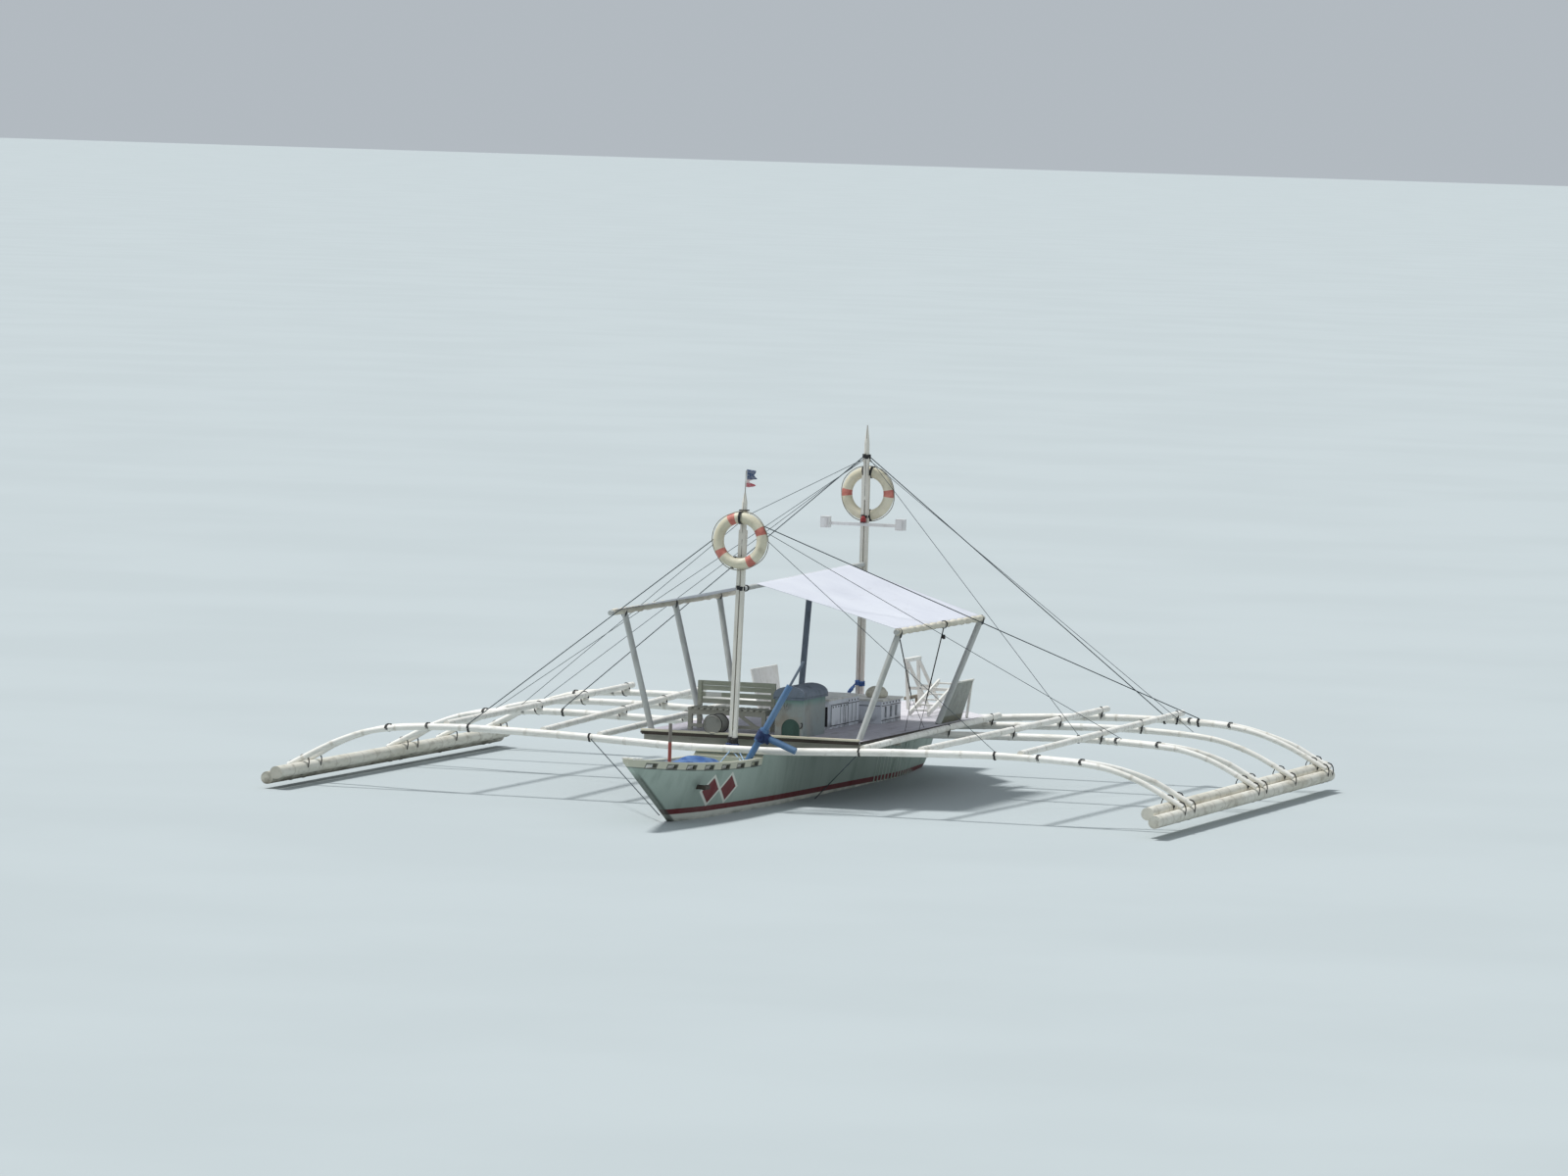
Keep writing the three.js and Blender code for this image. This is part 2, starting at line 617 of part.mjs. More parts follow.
// Engine hood with an arched roof and an arched opening in its front
const HOOD = { x0: 1560, x1: 2440, y0: 270, y1: 620, wall: 24, eave: 1295, rise: 108 };
const HATCH = { y0: 350, y1: 580, straight: 105 };
const ROOF_THICKNESS = 22;

function archSection(y0, y1, base, eave, rise) {
  const shape = new THREE.Shape();
  const half = (y1 - y0) / 2;
  const middle = (y0 + y1) / 2;
  shape.moveTo(y0, base);
  shape.lineTo(y1, base);
  for (let k = 0; k <= 10; k++) {
    const angle = (k / 10) * Math.PI;
    shape.lineTo(middle + half * Math.cos(angle), eave + rise * Math.sin(angle));
  }
  return shape;
}

// A shape drawn in y and z, run along x
function alongX(shape, x0, x1) {
  const geometry = new THREE.ExtrudeGeometry(shape, { depth: x1 - x0, bevelEnabled: false });
  geometry.applyMatrix4(new THREE.Matrix4().makeBasis(V(0, 1, 0), V(0, 0, 1), V(1, 0, 0)));
  geometry.translate(x0, 0, 0);
  return solid(geometry);
}

function makeHood() {
  const { x0, x1, y0, y1, wall, eave } = HOOD;
  const base = DECK_TOP_Z + GAP;
  const shell = block(x0, x1, y0, y1, base, eave);
  const room = block(x0 + wall, x1 - wall, y0 + wall, y1 - wall, base - 10, eave + 10);
  const crown = (HATCH.y1 - HATCH.y0) / 2;
  const hatch = archSection(HATCH.y0, HATCH.y1, base - 10, base + HATCH.straight, crown);
  const doorway = alongX(hatch, x1 - wall - 20, x1 + 20);
  add('engine_hood', cut(shell, room, doorway), 'hood');
  const arch = archSection(y0 - 25, y1 + 25, eave + GAP, eave + 24, HOOD.rise);
  const under = archSection(y0 + wall, y1 - wall, eave - 10, eave + 5, HOOD.rise - 25);
  const roof = cut(alongX(arch, x0 - 20, x1 + 25), alongX(under, x0 + wall, x1 - wall));
  add('hood_roof', roof, 'slate');
}

// Casing behind the hood, with a hinged side door, and a lower locker with a hinged lid
const CASING = { x0: -330, x1: 930, y0: -150, y1: 465, wall: 24, top: 1165 };
const DOOR = { x0: 180, x1: 885, z0: 845, z1: 1120, thickness: 20 };
const LOCKER = { x0: -1280, x1: -460, y0: 100, y1: 715, wall: 22, top: 1090 };

function makeCasing() {
  const { x0, x1, y0, y1, wall, top } = CASING;
  const base = DECK_TOP_Z + GAP;
  const shell = block(x0, x1, y0, y1, base, top);
  const room = block(x0 + wall, x1 - wall, y0 + wall, y1 - wall, base - 10, top + 10);
  const doorway = block(DOOR.x0 + 15, DOOR.x1 - 15, y1 - wall - 20, y1 + 20, DOOR.z0 + 15, DOOR.z1 - 15);
  add('casing', cut(shell, room, doorway), 'panel');
  const roof = block(x0 - 20, x1 + 20, y0 - 20, y1 + 20, top + GAP, top + ROOF_THICKNESS);
  add('casing_roof', roof, 'white');
  const face = y1 + GAP;
  add('casing_door', block(DOOR.x0, DOOR.x1, face, face + DOOR.thickness, DOOR.z0, DOOR.z1), 'panel');
  const seat = base + 60;
  const bed = join(block(60, 760, 0, 60, base, seat + 1), block(60, 760, 220, 280, base, seat + 1));
  add('engine', join(bed, block(40, 780, -40, 320, seat, 1110)), 'engine');
}

function makeLocker() {
  const { x0, x1, y0, y1, wall, top } = LOCKER;
  const base = DECK_TOP_Z + GAP;
  const shell = block(x0, x1, y0, y1, base, top);
  const room = block(x0 + wall, x1 - wall, y0 + wall, y1 - wall, base + 20, top + 10);
  const vents = [0, 1, 2].map((k) => {
    const x = x0 + 150 + k * 220;
    return block(x, x + 90, y1 - wall - 20, y1 + 20, base + 70, top - 70);
  });
  add('locker', cut(shell, room, ...vents), 'panel');
  add('locker_lid', block(x0 - 15, x1 + 15, y0 - 5, y1 + 25, top + GAP, top + 24), 'white');
}

// Slatted bench across the deck, its back towards the stern
const BENCH = { x: 1860, y0: -960, y1: 25, seat: 1080, top: 1395, depth: 400, leg: 50 };
function makeBench() {
  const { x, y0, y1, seat, top, depth, leg } = BENCH;
  const base = DECK_TOP_Z + GAP;
  const fore = x + depth / 2;
  const aft = x - depth / 2;
  const pieces = [];
  for (const y of [y0, y1 - leg]) {
    pieces.push(block(aft, aft + leg, y, y + leg, base, top));
    pieces.push(block(fore - leg, fore, y, y + leg, base, seat));
    pieces.push(block(aft, fore, y, y + leg, seat - 60, seat));
  }
  pieces.push(block(fore - 30, fore, y0, y1, seat - 70, seat - 10));
  pieces.push(block(aft, aft + 30, y0, y1, seat - 70, seat - 10));
  const slats = 13;
  for (let k = 0; k < slats; k++) {
    const y = mix(y0, y1 - 45, k / (slats - 1));
    pieces.push(block(aft + 10, fore + 20, y, y + 45, seat - 12, seat + 12));
  }
  for (const z of [seat + 70, seat + 150, seat + 230, top - 25]) {
    pieces.push(block(aft + 10, aft + 34, y0, y1, z - 28, z + 28));
  }
  pieces.push(bar(V(fore - 15, y0 + 620, seat - 40), V(fore - 15, y0 + 870, base + 60), 24, 40, V(1, 0, 0)));
  pieces.push(block(fore - 30, fore, y0, y1, base + 40, base + 80));
  add('bench', join(...pieces), 'bench');
}

// Boards that lean outward over the deck's edges near the stern: low and high are the ends of the
// lower and the upper edge, fore end first
const SIDE_BOARDS = {
  port: { low: [-985, -1900], high: [-1185, -1890] },
  starboard: { low: [-1800, -2745], high: [-1900, -2960] },
};
const BOARD = { thickness: 20, lean: 150, top: 1315, inset: 75 };
function makeSideBoards() {
  const base = DECK_TOP_Z + GAP;
  for (const [word, side] of [['port', 1], ['starboard', -1]]) {
    const { low, high } = SIDE_BOARDS[word];
    const y = side * (DECK_HALF - BOARD.inset);
    const corners = [[low[0], 0, base], [low[1], 0, base], [high[1], BOARD.lean, BOARD.top], [high[0], BOARD.lean, BOARD.top]];
    const faces = [-1, 1].map((face) => corners.map(([x, out, z]) => {
      return V(x, y + side * out + (face * BOARD.thickness) / 2, z);
    }));
    add(`side_board_${word}`, loft(faces, true), word === 'port' ? 'panel' : 'white');
  }
}

// Stern trestle: a beam along the boat on two pairs of legs, each pair with a cross bar. The bar of
// the fore pair reaches out to port and carries the boarding ladder
const TRESTLE = { foreX: -3180, aftX: -3680, y: 200, footStarboard: 240, footPort: 540, top: 1460, barShare: 0.42 };
const LADDER = { footX: -2080, y0: 590, y1: 830, depth: 60, thickness: 24, rungs: 6 };
function makeTrestle() {
  const base = DECK_TOP_Z + GAP;
  const { foreX, aftX, y, footStarboard, footPort, top, barShare } = TRESTLE;
  const pieces = [block(aftX - 60, foreX + 60, y - 28, y + 28, top - 46, top)];
  const z = mix(base, top, barShare);
  for (const x of [foreX, aftX]) {
    for (const footY of [footStarboard, footPort]) {
      pieces.push(bar(V(x, footY, base - 20), V(x, y, top - 20), 46, 34, V(1, 0, 0)));
    }
    const barEnd = x === foreX ? LADDER.y1 + 30 : mix(footPort, y, barShare) + 10;
    pieces.push(block(x - 17, x + 17, mix(footStarboard, y, barShare) - 10, barEnd, z - 18, z + 18));
  }
  const below = block(aftX - 200, foreX + 200, y - 300, footPort + 400, base - 200, base);
  add('stern_trestle', cut(join(...pieces), below), 'white');
}

// Boarding ladder, its foot on the deck and its rails on the trestle's long cross bar
function makeLadder() {
  const base = DECK_TOP_Z + GAP;
  const { footX, y0, y1, depth, thickness, rungs } = LADDER;
  const headX = TRESTLE.foreX - 160;
  const rise = mix(base, TRESTLE.top, TRESTLE.barShare) + 18 + GAP - base;
  const slope = rise / (footX - TRESTLE.foreX - 17);
  const lean = Math.hypot(1, slope);
  const middle = (x) => base + slope * (footX - x) + (depth / 2) * lean;
  const pieces = [y0, y1].map((y) => bar(V(footX, y, middle(footX)), V(headX, y, middle(headX)), thickness, depth, V(0, 1, 0)));
  for (let k = 0; k < rungs; k++) {
    const x = mix(footX - 130, headX + 80, k / (rungs - 1));
    pieces.push(block(x - 32, x + 32, y0, y1, middle(x) - 10, middle(x) + 10));
  }
  const below = block(headX - 100, footX + 200, y0 - 100, y1 + 100, base - 300, base);
  add('boarding_ladder', cut(join(...pieces), below), 'white');
}

// Rudder with its stock through the stern, and the tiller
const RUDDER = { x: -4330, stock: 20, low: -470, high: -85, tiller: 905 };
function makeRudder() {
  const { x, stock, low, high, tiller } = RUDDER;
  const outline = [[x + 70, high], [x + 80, low + 60], [x + 30, low], [x - 230, low + 20], [x - 270, low + 160], [x - 215, high]];
  const shape = new THREE.Shape(outline.map(([px, pz]) => new THREE.Vector2(px, pz)));
  const blade = new THREE.ExtrudeGeometry(shape, { depth: 24, bevelEnabled: false });
  blade.rotateX(Math.PI / 2);
  blade.translate(0, 12, 0);
  const post = rod(V(x, 0, low + 80), V(x, 0, tiller), stock, 24);
  const arm = block(x - 40, x + 500, -18, 18, tiller - 20, tiller + 20);
  add('rudder', join(solid(blade), post, arm), 'timber');
}

// Propeller on its shaft, and the strut that carries it
const PROPELLER = { fore: -2250, aft: -3930, z: -272, shaft: 16, hub: 34, radius: 145 };
function makePropeller() {
  const { fore, aft, z, shaft, hub, radius } = PROPELLER;
  const line = rod(V(aft, 0, z), V(fore, 0, z), shaft, 24);
  const boss = rod(V(aft - 40, 0, z), V(aft + 70, 0, z), hub);
  const blade = new THREE.BoxGeometry(16, 92, radius - 12);
  blade.translate(0, 0, (radius + 12) / 2);
  blade.rotateZ(THREE.MathUtils.degToRad(32));
  const blades = [0, 120, 240].map((turn) => {
    return solid(blade).rotate([turn, 0, 0]).translate([aft + 15, 0, z]);
  });
  add('propeller', join(line, boss, ...blades), 'metal');
  const strutX = aft + 190;
  const head = hullKeel(strutX) - GAP;
  const ring = rod(V(strutX - 45, 0, z), V(strutX + 45, 0, z), shaft + 18);
  const leg = block(strutX - 40, strutX + 40, -9, 9, z, head + 20);
  const pad = block(strutX - 60, strutX + 60, -28, 28, head - 30, head + 20);
  const shaftBore = bore(V(strutX - 90, 0, z), V(strutX + 90, 0, z), shaft);
  const keelSlope = new THREE.BufferGeometry().copy(new THREE.BoxGeometry(600, 400, 200));
  keelSlope.translate(0, 0, 100);
  keelSlope.rotateY(Math.atan(KEEL_RISE_SLOPE));
  keelSlope.translate(strutX, 0, head);
  add('shaft_strut', cut(join(ring, leg, pad), shaftBore, solid(keelSlope)), 'steel');
}

// Bow post, blue pipe anchor and the tarpaulin heap in the foredeck well
function makeForedeckGear() {
  const floor = (x) => wellFloor(x) + GAP;
  const postX = 5600;
  const post = rod(V(postX, 0, floor(postX) - 60), V(postX, 0, 1150), 21, 10);
  const under = loft([postX - 90, postX + 90].map((x) => [V(x, -90, 300), V(x, 90, 300), V(x, 90, floor(x)), V(x, -90, floor(x))]));
  add('bow_post', cut(post, under), 'red');
  const x = 3560;
  const head = V(x, 798, 1513);
  const heel = V(x, 262, floor(x) + 18.2);
  const pipe = rod(heel, head, 40, 10);
  const thin = rod(heel.clone().lerp(head, 0.95), head.clone().lerp(heel, -0.3), 16, 8);
  const elbow = heel.clone().lerp(head, 0.385);
  const hub = rod(elbow.clone().lerp(heel, 0.2), elbow.clone().lerp(head, 0.12), 60, 10);
  const arm = rod(elbow, V(x, elbow.y + 425, elbow.z - 168), 42, 10);
  add('pipe_anchor', join(pipe, thin, hub, arm), 'blue');
  const heap = [3900, 4150, 4500, 4900, 5250, 5480].map((hx, k) => {
    const low = floor(hx);
    const high = low + [14, 130, 166, 160, 128, 14][k];
    const half = hullSide(hx, low) - BULWARK_THICKNESS - 45;
    const slim = half * [0.6, 0.9, 1, 0.95, 0.85, 0.55][k];
    return [V(hx, -slim, low), V(hx, slim, low), V(hx, slim * 0.8, high), V(hx, -slim * 0.8, high)];
  });
  add('tarpaulin', loft(heap), 'tarp');
}

// Main stays from the masts to the outrigger frame
function makeStays() {
  const foreTop = V(mastFace(FORE_MAST, 3450), 0, 3450);
  const aftTop = V(AFT_MAST.x, 0, 4046);
  const seat = (boom, y) => V(boom.x, y, boomHeight(boom, Math.abs(y)) + BOOM_RADIUS);
  const stays = [
    ['stay_fore_port', foreTop, 35.4, seat(BOOMS[3], 3950)],
    ['stay_fore_starboard', foreTop, 33.8, seat(BOOMS[0], -3300)],
    ['stay_aft_port', aftTop, 39.4, seat(BOOMS[3], 3500)],
    ['stay_aft_starboard', aftTop, 39.5, seat(BOOMS[1], -3300)],
  ];
  for (const [name, top, outward, low] of stays) {
    const side = Math.sign(low.y);
    const start = V(top.x, top.y + side * outward, top.z);
    const end = V(low.x, low.y, low.z + 8);
    add(name, rod(start, end, 6, 6), 'wire');
  }
}

makeHull();
makeDeck();
makeCrossbeams();
makeBooms();
makeFloats();
makeRails();
makeMasts();
makeRings();
makeSpreader();
makePoles();
makePosts();
makeAwning();
makeHood();
makeCasing();
makeLocker();
makeBench();
makeSideBoards();
makeTrestle();
makeLadder();
makeRudder();
makePropeller();
makeForedeckGear();
makeStays();

export default group;
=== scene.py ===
# Outrigger canoe, finished in paint, bamboo, cloth and cord over its fixed frame. Metres, +X to
# the bow, +Y to port, +Z up, with the water's surface at z = 0.
import math
import random

import bmesh
import bpy
import numpy as np
from mathutils import Matrix, Vector


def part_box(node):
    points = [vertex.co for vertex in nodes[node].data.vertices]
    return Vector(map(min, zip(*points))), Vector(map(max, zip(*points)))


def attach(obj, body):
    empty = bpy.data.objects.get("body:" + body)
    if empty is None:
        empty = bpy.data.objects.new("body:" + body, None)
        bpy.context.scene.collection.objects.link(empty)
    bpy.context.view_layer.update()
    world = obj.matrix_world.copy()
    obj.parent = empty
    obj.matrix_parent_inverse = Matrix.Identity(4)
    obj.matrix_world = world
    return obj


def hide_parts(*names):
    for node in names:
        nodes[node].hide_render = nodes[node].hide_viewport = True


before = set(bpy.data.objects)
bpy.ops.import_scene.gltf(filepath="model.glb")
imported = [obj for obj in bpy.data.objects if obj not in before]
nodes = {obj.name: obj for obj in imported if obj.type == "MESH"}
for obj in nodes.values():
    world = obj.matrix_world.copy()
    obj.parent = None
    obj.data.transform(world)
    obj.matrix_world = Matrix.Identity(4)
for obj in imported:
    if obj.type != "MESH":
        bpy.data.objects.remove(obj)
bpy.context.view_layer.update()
scene = bpy.context.scene

# Camera: a long lens from off the port bow, a little above the boat. It leans a little to one side,
# as the boat lies in the photograph.
EYE = Vector((97.53679, 30.61558, 8.19871))
LOOK = Vector((-0.9513617, -0.3029553, -0.0559366))
UPWARD = Vector((-0.0443781, -0.0449089, 0.9980049))

camera = bpy.data.objects.new("camera", bpy.data.cameras.new("camera"))
camera.data.lens, camera.data.sensor_width = 191.25, 36
camera.data.clip_end = 3000
across = LOOK.cross(UPWARD).normalized()
turn = Matrix((across, across.cross(LOOK), -LOOK)).transposed().to_4x4()
camera.matrix_world = Matrix.Translation(EYE) @ turn
scene.collection.objects.link(camera)
scene.camera = camera


# Hull: planks and plywood under pale sea-worn oil paint, with a cream bulwark, a thin dark line
# below it and a maroon stripe over the white boot top. Rain and rust have run down its sides.
def linear(hex_colour):
    """An sRGB hex colour as the linear colour that a shader takes"""
    parts = [int(hex_colour[k:k + 2], 16) / 255 for k in (1, 3, 5)]
    return [p / 12.92 if p <= 0.04045 else ((p + 0.055) / 1.055) ** 2.4 for p in parts] + [1]


def feed(node, inputs):
    """Gives inputs of a node, by name, links or colours or plain values"""
    for name, value in inputs.items():
        socket = node.inputs[name]
        if isinstance(value, bpy.types.NodeSocket):
            node.id_data.links.new(value, socket)
        else:
            socket.default_value = linear(value) if isinstance(value, str) and value[0] == "#" else value


def step(tree, kind, inputs, **settings):
    """Adds a node to a tree, with its settings by name and what its inputs are fed"""
    made = tree.nodes.new(kind)
    for name, value in settings.items():
        setattr(made, name, value)
    feed(made, inputs)
    return made


def maths(way, a, b=0.0):
    """One step of arithmetic on a pattern, by Blender's own name for it"""
    return step(a.id_data, "ShaderNodeMath", {0: a, 1: b}, operation=way).outputs[0]


def times(pattern, *others):
    """The product of a pattern with more patterns or numbers"""
    for other in others:
        pattern = maths("MULTIPLY", pattern, other)
    return pattern


def ramp(value, low=0.0, high=1.0, start=0.0, end=1.0, **settings):
    """Runs from start to end while a value goes from low to high"""
    inputs = {0: value, 1: low, 2: high, 3: start, 4: end}
    return step(value.id_data, "ShaderNodeMapRange", inputs, **settings).outputs[0]


def band(value, low, high, edge=0.004):
    """1 where a value lies between two limits, with an edge as soft as brushed paint"""
    return times(ramp(value, low - edge, low + edge), ramp(value, high - edge, high + edge, 1.0, 0.0))


def repeat(value, pitch):
    """Runs from 0 to 1 over each pitch of a length"""
    return maths("FRACT", maths("DIVIDE", value, pitch))


def axes_of(place):
    """The coordinates of a place, by letter"""
    return step(place.id_data, "ShaderNodeSeparateXYZ", {"Vector": place}).outputs


def attribute(place, name):
    """A number that the mesh keeps for its points"""
    return step(place.id_data, "ShaderNodeAttribute", {}, attribute_name=name).outputs["Fac"]


def grain(place, scale, stretch=(1, 1, 1), detail=4.0, low=0.4, high=0.6):
    """Soft noise from 0 to 1, its patches scale to the metre, stretched along an axis"""
    spread = step(place.id_data, "ShaderNodeMapping", {"Vector": place, "Scale": stretch}).outputs[0]
    noise = step(place.id_data, "ShaderNodeTexNoise", {"Vector": spread, "Scale": scale, "Detail": detail})
    return ramp(noise.outputs["Fac"], low, high)


def tint(under, over, amount):
    """One colour over another by an amount"""
    return step(amount.id_data, "ShaderNodeMix", {0: amount, 6: under, 7: over}, data_type="RGBA").outputs[2]


def relief(shader, height, depth):
    """Raises a surface by a pattern, to a depth in metres"""
    bump = step(shader.id_data, "ShaderNodeBump", {"Height": height, "Distance": depth, "Strength": 1.0})
    feed(shader, {"Normal": bump.outputs[0]})


def finish_named(name):
    """A new material, with its shader and the place on the object in metres"""
    made = bpy.data.materials.new(name)
    made.use_nodes = True
    place = step(made.node_tree, "ShaderNodeTexCoord", {}).outputs["Object"]
    return made, made.node_tree.nodes["Principled BSDF"], place


def worn_finish(name, paint, worn, stain, run=(1, 1, 1), share=0.5, gloss=0.55):
    """Old paint: patches of a worn shade, stains that run along the stretch, and brush marks"""
    made, shader, place = finish_named(name)
    patches = grain(place, 2.2, run, 5.0, 0.38, 0.66)
    runs = grain(place, 6.0, [s * 1.6 for s in run], 6.0, 0.52, 0.78)
    flecks = grain(place, 70.0, (1, 1, 1), 3.0, 0.58, 0.74)
    colour = tint(paint, worn, times(patches, share))
    colour = tint(colour, stain, times(runs, share * 0.8))
    colour = tint(colour, stain, times(flecks, share * 0.35))
    feed(shader, {"Base Color": colour, "Roughness": ramp(runs, 0.0, 1.0, gloss, min(1.0, gloss + 0.25))})
    relief(shader, grain(place, 45.0, run, 4.0, 0.3, 0.7), 0.0012)
    return made, shader, place, colour


def paint_node(name, material):
    """Gives a part of the frame its finish"""
    slots = nodes[name].data.materials
    for k in range(len(slots)):
        slots[k] = material


STEP_X, SHEER_RUN, SHEER_LOW, SHEER_RISE, SHEER_POWER = 3.4, 3.8, 0.628, 0.208, 1.8
SCUPPER_START, SCUPPER_PITCH = 3.389, 0.502

hull_paint, shader, place, colour = worn_finish(
    "oil paint on hull planks", "#a2b1a7", "#87978d", "#647369", (0.5, 0.5, 0.12), 0.5)
axes = axes_of(place)
hull_x, hull_z = axes["X"], axes["Z"]
# the bulwark's band and line follow the sheer forward of the step
sheer = maths("MAXIMUM", maths("DIVIDE", maths("SUBTRACT", hull_x, STEP_X), SHEER_RUN))
sheer = maths("ADD", times(maths("POWER", sheer, SHEER_POWER), SHEER_RISE), SHEER_LOW)
below = maths("SUBTRACT", hull_z, sheer)
fore = band(hull_x, 3.36, 9.0)
colour = tint(colour, "#c2c1ae", times(band(below, -0.085, 0.2), fore))
colour = tint(colour, "#4f5650", times(band(below, -0.096, -0.084, 0.003), fore, 0.7))
# painted shadow: dark rims around the scuppers stand in for the shade on the holes' edges
beat = repeat(maths("SUBTRACT", hull_x, SCUPPER_START), SCUPPER_PITCH)
scupper_shadow = times(band(beat, 0.225, 0.775, 0.01), band(below, -0.094, -0.024, 0.003))
colour = tint(colour, "#474a42", times(scupper_shadow, band(hull_x, 3.5, 6.8), 0.85))
# stripe and boot top rise towards the bow, over growth at the waterline
lift = maths("SUBTRACT", hull_z, times(hull_x, 0.0105))
colour = tint(colour, "#dcdcd2", band(lift, -0.6, 0.034))
colour = tint(colour, "#6b2528", band(lift, 0.034, 0.1, 0.003))
wet = grain(place, 8.0, (0.4, 0.4, 1.2), 4.0, 0.35, 0.7)
colour = tint(colour, "#5e6a58", times(band(hull_z, -2.0, 0.02, 0.03), wet))
# dark stem edge, and a darker smear below the stub of timber: painted shadow of the stub over a stain
stem = maths("SUBTRACT", maths("SUBTRACT", hull_x, times(hull_z, 2.08)), 5.542)
stem_edge = times(band(stem, -0.05, 0.6, 0.02), band(hull_z, -0.4, 0.62, 0.05))
colour = tint(colour, "#4a5049", times(stem_edge, 0.8))
stub_shadow_and_stain = times(band(hull_x, 4.9, 5.35, 0.2), band(hull_z, 0.2, 0.5, 0.15))
colour = tint(colour, "#76857d", times(stub_shadow_and_stain, 0.5))
# a plain painted mark of two lozenges with pale edges, on both bows
for mark_x in (4.36, 4.9):
    wide = maths("DIVIDE", maths("ABSOLUTE", maths("SUBTRACT", hull_x, mark_x)), 0.26)
    tall = maths("DIVIDE", maths("ABSOLUTE", maths("SUBTRACT", hull_z, 0.335)), 0.165)
    lozenge = maths("ADD", wide, tall)
    colour = tint(colour, "#dcdcd2", times(band(lozenge, -1.0, 1.16, 0.03), 0.8))
    colour = tint(colour, "#6b2528", band(lozenge, -1.0, 0.9, 0.03))
feed(shader, {"Base Color": colour, "Specular IOR Level": 0.35})
paint_node("hull", hull_paint)

# Fittings on the hull: upright battens that guard both quarters, a stub of timber by the painted
# mark, white pads at the stem head and white boards inside the bulwarks, which are painted light.
HULL_DECK_Z, WELL_DEPTH = 0.665, 0.12


def ease(value, low, high):
    """0 up to a low value and 1 past a high one, with a smooth run between them"""
    share = min(1, max(0, (value - low) / (high - low)))
    return share * share * (3 - 2 * share)


def hull_top(x):
    """Height of the hull's upper edge, with its step down to the foredeck's sheer"""
    if x < STEP_X:
        return HULL_DECK_Z if x < 3.33 else SHEER_LOW
    return SHEER_LOW + SHEER_RISE * ((x - STEP_X) / SHEER_RUN) ** SHEER_POWER


def hull_keel(x):
    """Height of the hull's lower edge, along the stem, the keel and the stern"""
    return max(-0.33, (x - 5.542) * 0.481, (-2.2 - x) * 0.132 - 0.33, (-4.32 - x) * 1.9 - 0.05)


def hull_side(x, z):
    """Half the hull's breadth at a place along it and a height"""
    fore, aft = max(0, (x - 3.3) / 3.9), max(0, (-2.3 - x) / 2.35)
    half = 0.035 + 0.395 * (1 - fore ** 2.4) * (1 - 0.42 * aft ** 1.8)
    full = 0.27 + 0.55 * ease(x, 2.2, 5.6) + 0.25 * ease(-x, 2.3, 4.65)
    share = min(1, max(0, (z - hull_keel(x)) / (hull_top(x) - hull_keel(x))))
    return 0.03 + (half - 0.03) * share ** full


def settle(name, mesh, material, body="canoe", sharp=40):
    """Links a finished mesh with its material, rounds its shading, and lets it ride on its body"""
    made = bpy.data.objects.new(name, mesh)
    scene.collection.objects.link(made)
    mesh.materials.clear()
    mesh.materials.append(material)
    mesh.shade_smooth()
    mesh.set_sharp_from_angle(angle=math.radians(sharp))
    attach(made, body)
    return made


def mesh_of(name, shape):
    """The plain mesh of a bmesh, which ends there"""
    mesh = bpy.data.meshes.new(name)
    shape.to_mesh(mesh)
    shape.free()
    return mesh


def planks(name, boards, material, bevel=0.003, body="canoe"):
    """Sawn boards with eased edges, each as eight corners: four of one face, four of the other"""
    shape = bmesh.new()
    for corners in boards:
        v = [shape.verts.new(c) for c in corners]
        for face in ((0, 3, 2, 1), (4, 5, 6, 7), (0, 1, 5, 4), (1, 2, 6, 5), (2, 3, 7, 6), (3, 0, 4, 7)):
            shape.faces.new([v[k] for k in face])
    bmesh.ops.recalc_face_normals(shape, faces=shape.faces)
    bmesh.ops.bevel(shape, geom=shape.edges[:], offset=bevel, segments=2, affect="EDGES", clamp_overlap=True)
    return settle(name, mesh_of(name, shape), material, body)


def board(x0, x1, y0, y1, z0, z1):
    """The corners of a board that lies square with the boat"""
    return [(x0, y0, z0), (x1, y0, z0), (x1, y1, z0), (x0, y1, z0),
            (x0, y0, z1), (x1, y0, z1), (x1, y1, z1), (x0, y1, z1)]


def plain_paint(name, *coats):
    """Old paint with nothing drawn on it"""
    return worn_finish(name, *coats)[0]


white_paint = plain_paint("white oil paint on timber", "#e9e8e2", "#cfcbbd", "#8f877a", (1, 1, 1), 0.5)
cream_timber = plain_paint("cream painted timber", "#e2dcc8", "#bdb49c", "#7d7262", (1, 0.3, 1), 0.6, 0.6)
tarred_timber = plain_paint("tarred dark timber", "#4a4038", "#2f2a26", "#1e1c1a", (1, 0.4, 1), 0.6, 0.7)

battens = []
for k in range(15):
    x = -1.46 - 0.15 * k
    corners = []
    for z in (-0.06, 0.6):
        y = hull_side(x, z)
        corners += [(x - 0.016, y - 0.012, z), (x + 0.016, y - 0.012, z),
                    (x + 0.016, y + 0.014, z), (x - 0.016, y + 0.014, z)]
    battens += [corners, [(x, -y, z) for x, y, z in corners]]
batten_paint = plain_paint(
    "pale green paint on battens", "#bcc9be", "#9fada3", "#6f7c70", (1, 1, 0.3), 0.6, 0.6)
planks("quarter_battens", battens, batten_paint)

x, z = 5.3, 0.4
y = hull_side(x, z)
stub = [board(x - 0.03, x + 0.03, y - 0.02, y + 0.13, z - 0.025, z + 0.025),
        board(x - 0.02, x + 0.16, y + 0.1, y + 0.15, z - 0.02, z + 0.03)]
planks("side_stub", stub, tarred_timber, 0.006)

pads = []
for x in (6.92, 7.0, 7.08):
    for side in (-1, 1):
        y = side * (hull_side(x, hull_top(x)) - 0.02)
        pads.append(board(x - 0.03, x + 0.03, y - 0.035, y + 0.035, hull_top(x) - 0.004, hull_top(x) + 0.022))
planks("stem_head_pads", pads, white_paint, 0.006)
